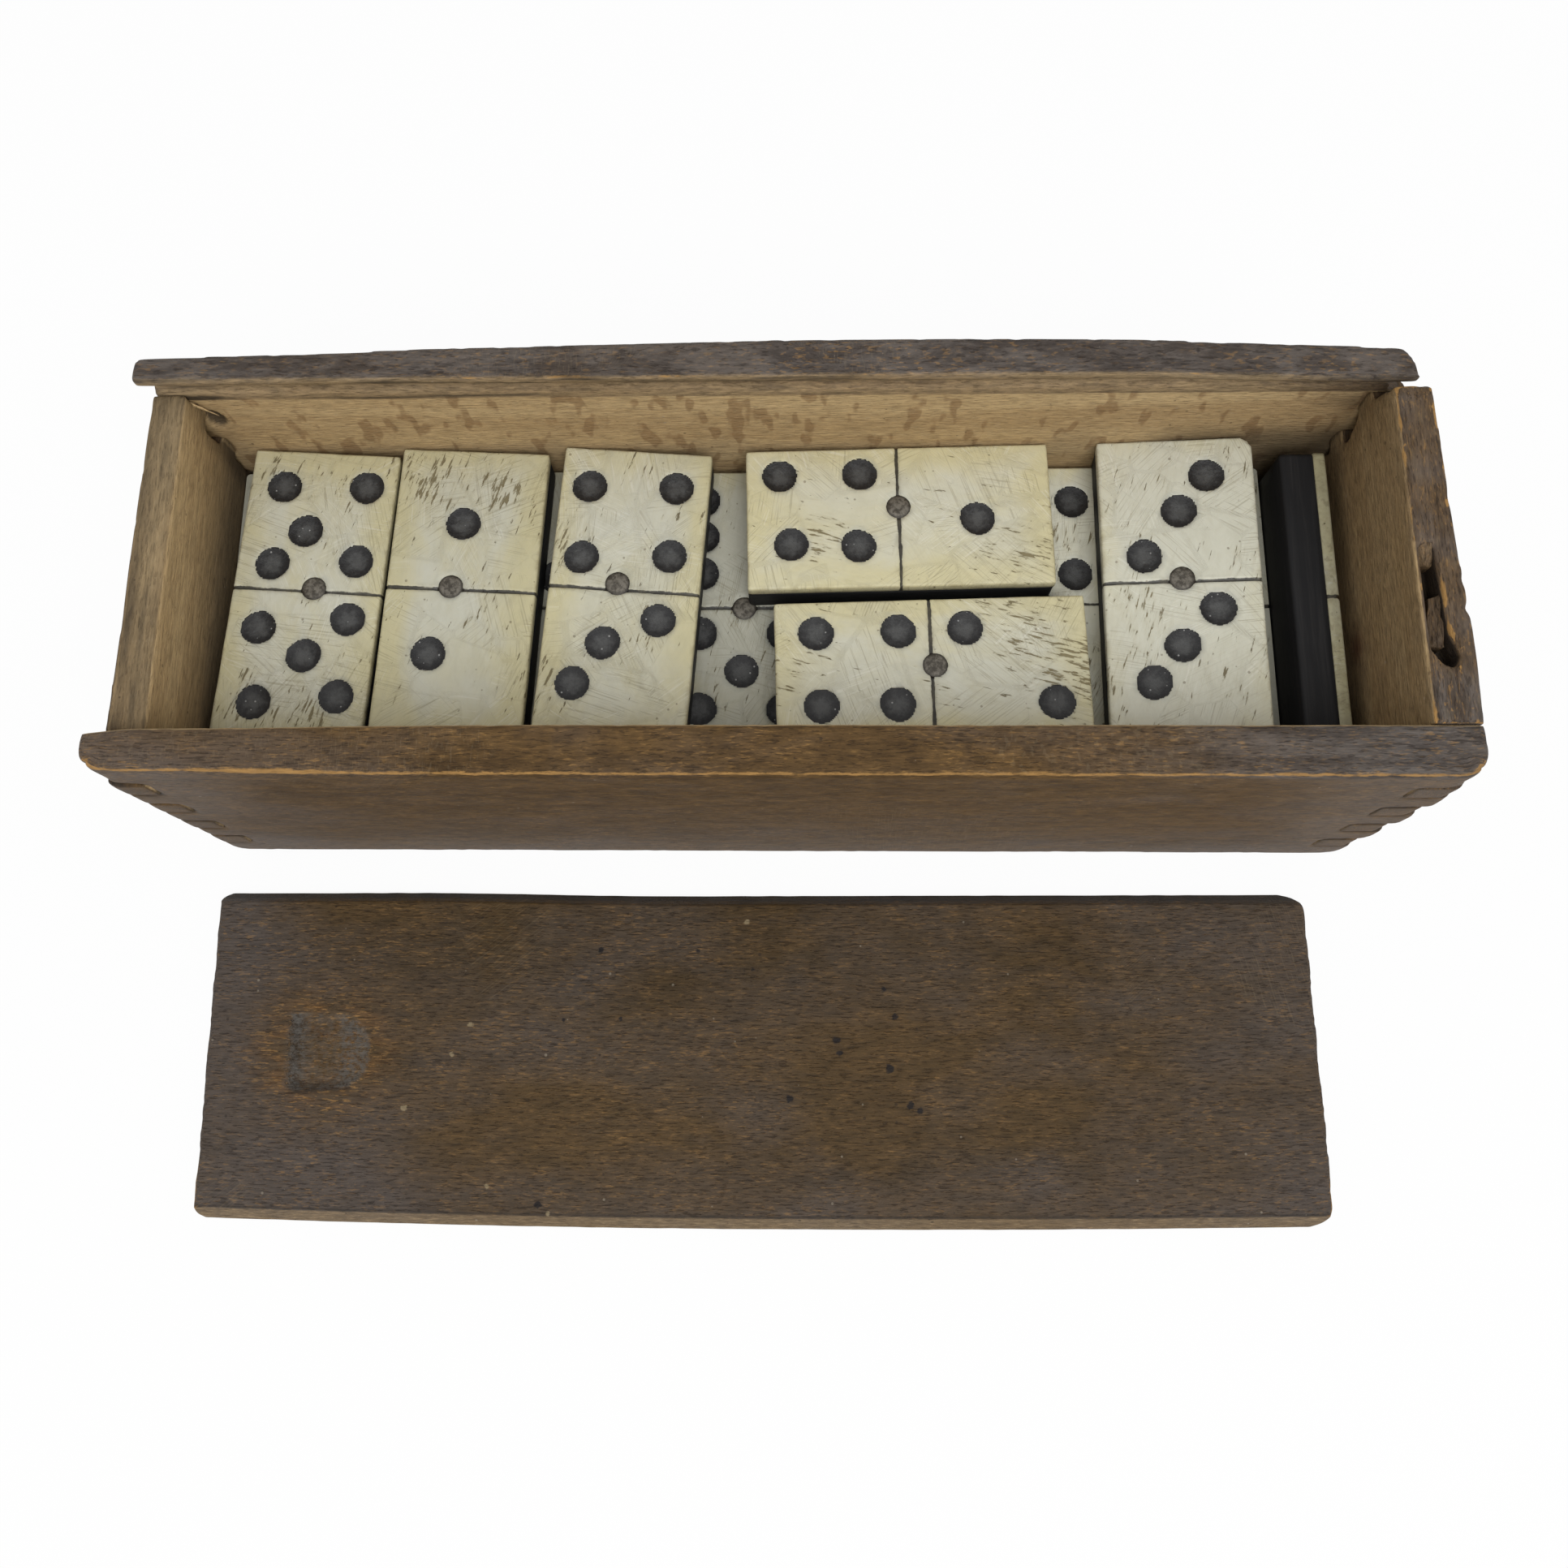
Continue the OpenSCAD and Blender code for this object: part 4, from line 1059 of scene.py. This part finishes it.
NICK_STOP, NICK_L, NICK_W, NICK_D = -LID_L / 2 + 12.9, 14.2, 13.4, 1.4


def nick_field(x, y):
    """Depth of the thumb nick: deepest at its straight stop, rising to nothing at its round far side."""
    along = x - NICK_STOP
    half = NICK_W / 2 - 1.1
    r = np.hypot(np.maximum(along - (NICK_L - half - 1.5), 0), y)
    inside = ramp(half - r, -0.9, 1.3) * ramp(along, -0.5, 0.7)
    return (0.62 * NICK_D * np.clip(1 - along / NICK_L, 0, 1) + 0.18) * inside


def packed(low, high, count, fine, share):
    """Spacing between two ends with a share of the steps crowded into the outer fine millimetres."""
    edge = max(3, int(count * share / 2))
    return np.concatenate([np.linspace(low, low + fine, edge, endpoint=False),
                           np.linspace(low + fine, high - fine, count - 2 * edge, endpoint=False),
                           np.linspace(high - fine, high, edge)])


def make_lid():
    """Lid: a grid over its plan whose height is the bevelled section, less the nick, dents and rubbed ends."""
    half_l, half_w, soft = LID_L / 2, LID_W / 2, 0.2
    across = packed(-half_w + soft, half_w - soft, 176, 2.6, 0.2)[:, None]
    share = packed(0, 1, 470, 0.02, 0.08)[None, :]

    def pulled_in(radius):
        over = np.clip(np.abs(across) - (half_w - soft - radius), 0, radius)
        return radius - np.sqrt(radius ** 2 - over ** 2)
    edge_wave = 0.10 * flat_noise(across, 0 * across, 2.6, 24) + 0.06 * flat_noise(across, 0 * across, 0.8, 25)
    low = -half_l + soft + pulled_in(1.1) + 0.1 + edge_wave
    high = half_l - soft - pulled_in(3.0) - 0.1 + 1.3 * edge_wave
    x = low + (high - low) * share
    y = across + 0 * share
    to_side = half_w - np.abs(y)
    slope = LID_EDGE + (LID_T - LID_EDGE) * to_side / LID_BEVEL
    gap = np.clip(0.5 + 0.5 * (LID_T - slope) / 0.22, 0, 1)
    z = LID_T * (1 - gap) + slope * gap - 0.22 * gap * (1 - gap)
    to_end = np.minimum(x - low, high - x)
    z = np.minimum(z, LID_T - 0.3 * (1 - ramp(to_end, -0.1, 0.8)) ** 2)
    z -= nick_field(x, y)
    z -= 0.04 + 0.04 * flat_noise(x, y, (22.0, 7.0, 1.0), 21) + 0.014 * flat_noise(x, y, (2.4, 0.5, 1.0), 22)
    near_edge = 1 - ramp(np.minimum(to_side - LID_BEVEL, to_end), 0, 1.2)
    z -= 0.10 * np.clip(flat_noise(x, y, (5.0, 2.5, 1.0), 23), 0, 1) * near_edge
    steps = [(0.1, 0.05, None), (0.2, 0.2, None), (0.2, None, 0.35), (0.1, None, 0.08), (-0.2, None, 0.0)]
    points, faces = skirted(np.stack([x, y, z], -1), steps, 0.03)
    px, py = points[:, 0], points[:, 1]
    past_stop = px - NICK_STOP
    side = half_w - np.abs(py)
    bevel = ramp(LID_BEVEL - side, -0.05, 0.25)
    nick = nick_field(px, py)
    halo = np.exp(-((np.hypot((past_stop - 5) * 0.85, py) / 9.0) ** 4))
    stop = bump_at(past_stop, 0.8, 1.15) * ramp(6.3 - np.abs(py), 0, 0.8)
    # painted shade along the nick's front wall
    under = bump_at(py, -6.0 + 0.10 * past_stop, 0.75) * ramp(past_stop, 0, 1.5) * (past_stop < 9.5)
    dirt = ramp(nick, 0.05, 0.25) * (0.45 + 0.55 * ramp(past_stop, 6.6, 8.6))
    # painted sheen: greyer towards the left and right ends; also greyer along the front edge and in blotches
    cool = 0.15 + 0.8 * (1 - ramp(px + 0.3 * py, -82, -48)) + 0.4 * ramp(px, 45, 84)
    cool += 0.45 * (1 - ramp(py, -23, -10)) + 0.3 * flat_noise(px, py, (14.0, 9.0, 1.0), 26)
    # painted shade on the back bevel; crease also darkens a line along the top of the front bevel
    brink = ramp(LID_BEVEL - side, 0.5, 0.9) * (py > 0)
    crease = brink + bump_at(side - LID_BEVEL, 0.1, 0.2) * (py < 0)
    marks = {"grain": points + np.array([LID_GRAIN_SHIFT, 0, 0]), "raw": 0.5 * bevel * (py < 0),
             "grime": 0.42 * stop + 0.8 * under + 0.75 * crease, "cool": np.clip(cool * (1 - 0.8 * halo), 0, 1),
             "rust": halo * (1 - 0.8 * stop) * (1 - 0.35 * ramp(nick, 0.1, 0.5)),
             "dust": np.clip(dirt + 0.8 * stop, 0, 1)}
    near, far = 0.5 - py / LID_W, 0.5 + py / LID_W
    sway = near * (-0.3 + 1.3 * np.clip((5 - px) / 88, 0, 1) ** 2 + 0.8 * np.clip((px - 5) / 80, 0, 1) ** 2)
    sway -= far * 0.65 * ramp(px, -55, -12)
    bent = points + np.column_stack([-0.5 * far * ramp(-px, 60, 84), sway, 0 * px])
    placed = bent @ turn(0, LID_YAW).T + np.array([LID_AT[0], LID_AT[1], 0])
    piece = make_piece("lid_board", placed, faces, "lid", lid_wood, ["lid"], marks)
    _, normals, edges = edge_values(piece.data)
    arris, hollow = bend_marks(points, normals, edges, 4, 0.10)
    rubbed = (0.30 + 0.35 * ramp(-py, 12, 22) * ramp(side, 0.5, 1.2)) * (1 - halo)
    set_marks(piece.data, {"arris": arris * rubbed, "hollow": 0.6 * hollow})


make_lid()

for seed, (name, tile) in enumerate(TILES.items(), 1):
    tile_face(name, tile, seed, bone)
    tile_back(name, tile, seed, ebony)
    tile_pips(name, tile, seed, pip_black)
    tile_pin(name, tile, seed, brass)


def coat_cad():
    """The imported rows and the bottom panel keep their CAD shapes; their finishes read plain object coordinates."""
    coats = {"bottom_panel": panel_wood}
    for row in ("row3", "row2", "row1"):
        for kind, material in (("faces", row_bone), ("backs", row_ebony), ("pins", row_brass), ("pips", row_pip)):
            coats[f"{row}_{kind}"] = material
    for node, material in coats.items():
        nodes[node].data.materials.clear()
        nodes[node].data.materials.append(material)


coat_cad()


# ---------------------------------------------------------------- stage, light and camera

WHITE = (1.0, 1.0, 1.0, 1.0)


def make_floor():
    """White table, two metres to each side: matt in the light, and nearly pure white to the camera."""
    mesh = bpy.data.meshes.new("table")
    r = 2.0
    mesh.from_pydata([(-r, -r, 0), (r, -r, 0), (r, r, 0), (-r, r, 0)], [], [(0, 1, 2, 3)])
    floor = put("table", mesh)
    material = bpy.data.materials.new("White table")
    material.use_nodes = True
    material.node_tree.nodes.clear()
    t = Tree(material.node_tree)
    camera, glossy, through = t.add("ShaderNodeLightPath", {}, "Is Camera Ray", "Is Glossy Ray", "Is Transmission Ray")
    seen = t.maths("MAXIMUM", t.maths("MAXIMUM", camera, glossy), through)
    matt = t.add("ShaderNodeBsdfDiffuse", {"Color": (0.8, 0.8, 0.8, 1.0)})
    glow = t.add("ShaderNodeEmission", {"Color": WHITE, "Strength": 1.0})
    t.node("ShaderNodeOutputMaterial", {0: t.add("ShaderNodeMixShader", {0: seen * 0.94, 1: matt, 2: glow})})
    mesh.materials.append(material)


def make_world():
    """Soft white daylight, brighter to the camera than to the object."""
    world = bpy.data.worlds.new("Soft daylight")
    world.use_nodes = True
    world.node_tree.nodes.clear()
    t = Tree(world.node_tree)
    strength = t.add("ShaderNodeLightPath", {}, "Is Camera Ray") * 0.38 + 0.62
    t.node("ShaderNodeOutputWorld", {0: t.add("ShaderNodeBackground", {"Color": WHITE, "Strength": strength})})
    bpy.context.scene.world = world


def make_lamp(name, place, target, size, power):
    lamp = bpy.data.lights.new(name, "AREA")
    lamp.shape, lamp.size, lamp.energy = "DISK", size, power
    holder = put(name, lamp)
    holder.location = place
    holder.rotation_euler = (Vector(target) - Vector(place)).to_track_quat("-Z", "Y").to_euler()


# the photograph's camera: frame, focal length and middle of the lens in pixels, place in metres, turn in degrees
FRAME_PX, FOCAL_PX, LENS_PX = 1932, 1672.33, (917.75, 955.5)
CAMERA_AT, CAMERA_TURN = (0.001994, -0.071744, 0.21424), (14.2257, 1.8129, 0.5561)


def make_camera():
    camera = bpy.data.cameras.new("Camera")
    camera.sensor_width = 36
    camera.lens = FOCAL_PX * 36 / FRAME_PX
    camera.shift_x = (FRAME_PX / 2 - LENS_PX[0]) / FRAME_PX
    camera.shift_y = (LENS_PX[1] - FRAME_PX / 2) / FRAME_PX
    camera.clip_start, camera.clip_end = 0.01, 20
    holder = put("Camera", camera)
    holder.location = CAMERA_AT
    holder.rotation_euler = tuple(np.radians(CAMERA_TURN))
    bpy.context.scene.camera = holder


make_floor()
make_world()
make_lamp("Window", (0.10, -0.42, 0.72), (0, 0, 0.02), 0.6, 4.2)
make_camera()
bpy.context.scene.view_settings.view_transform = "Standard"
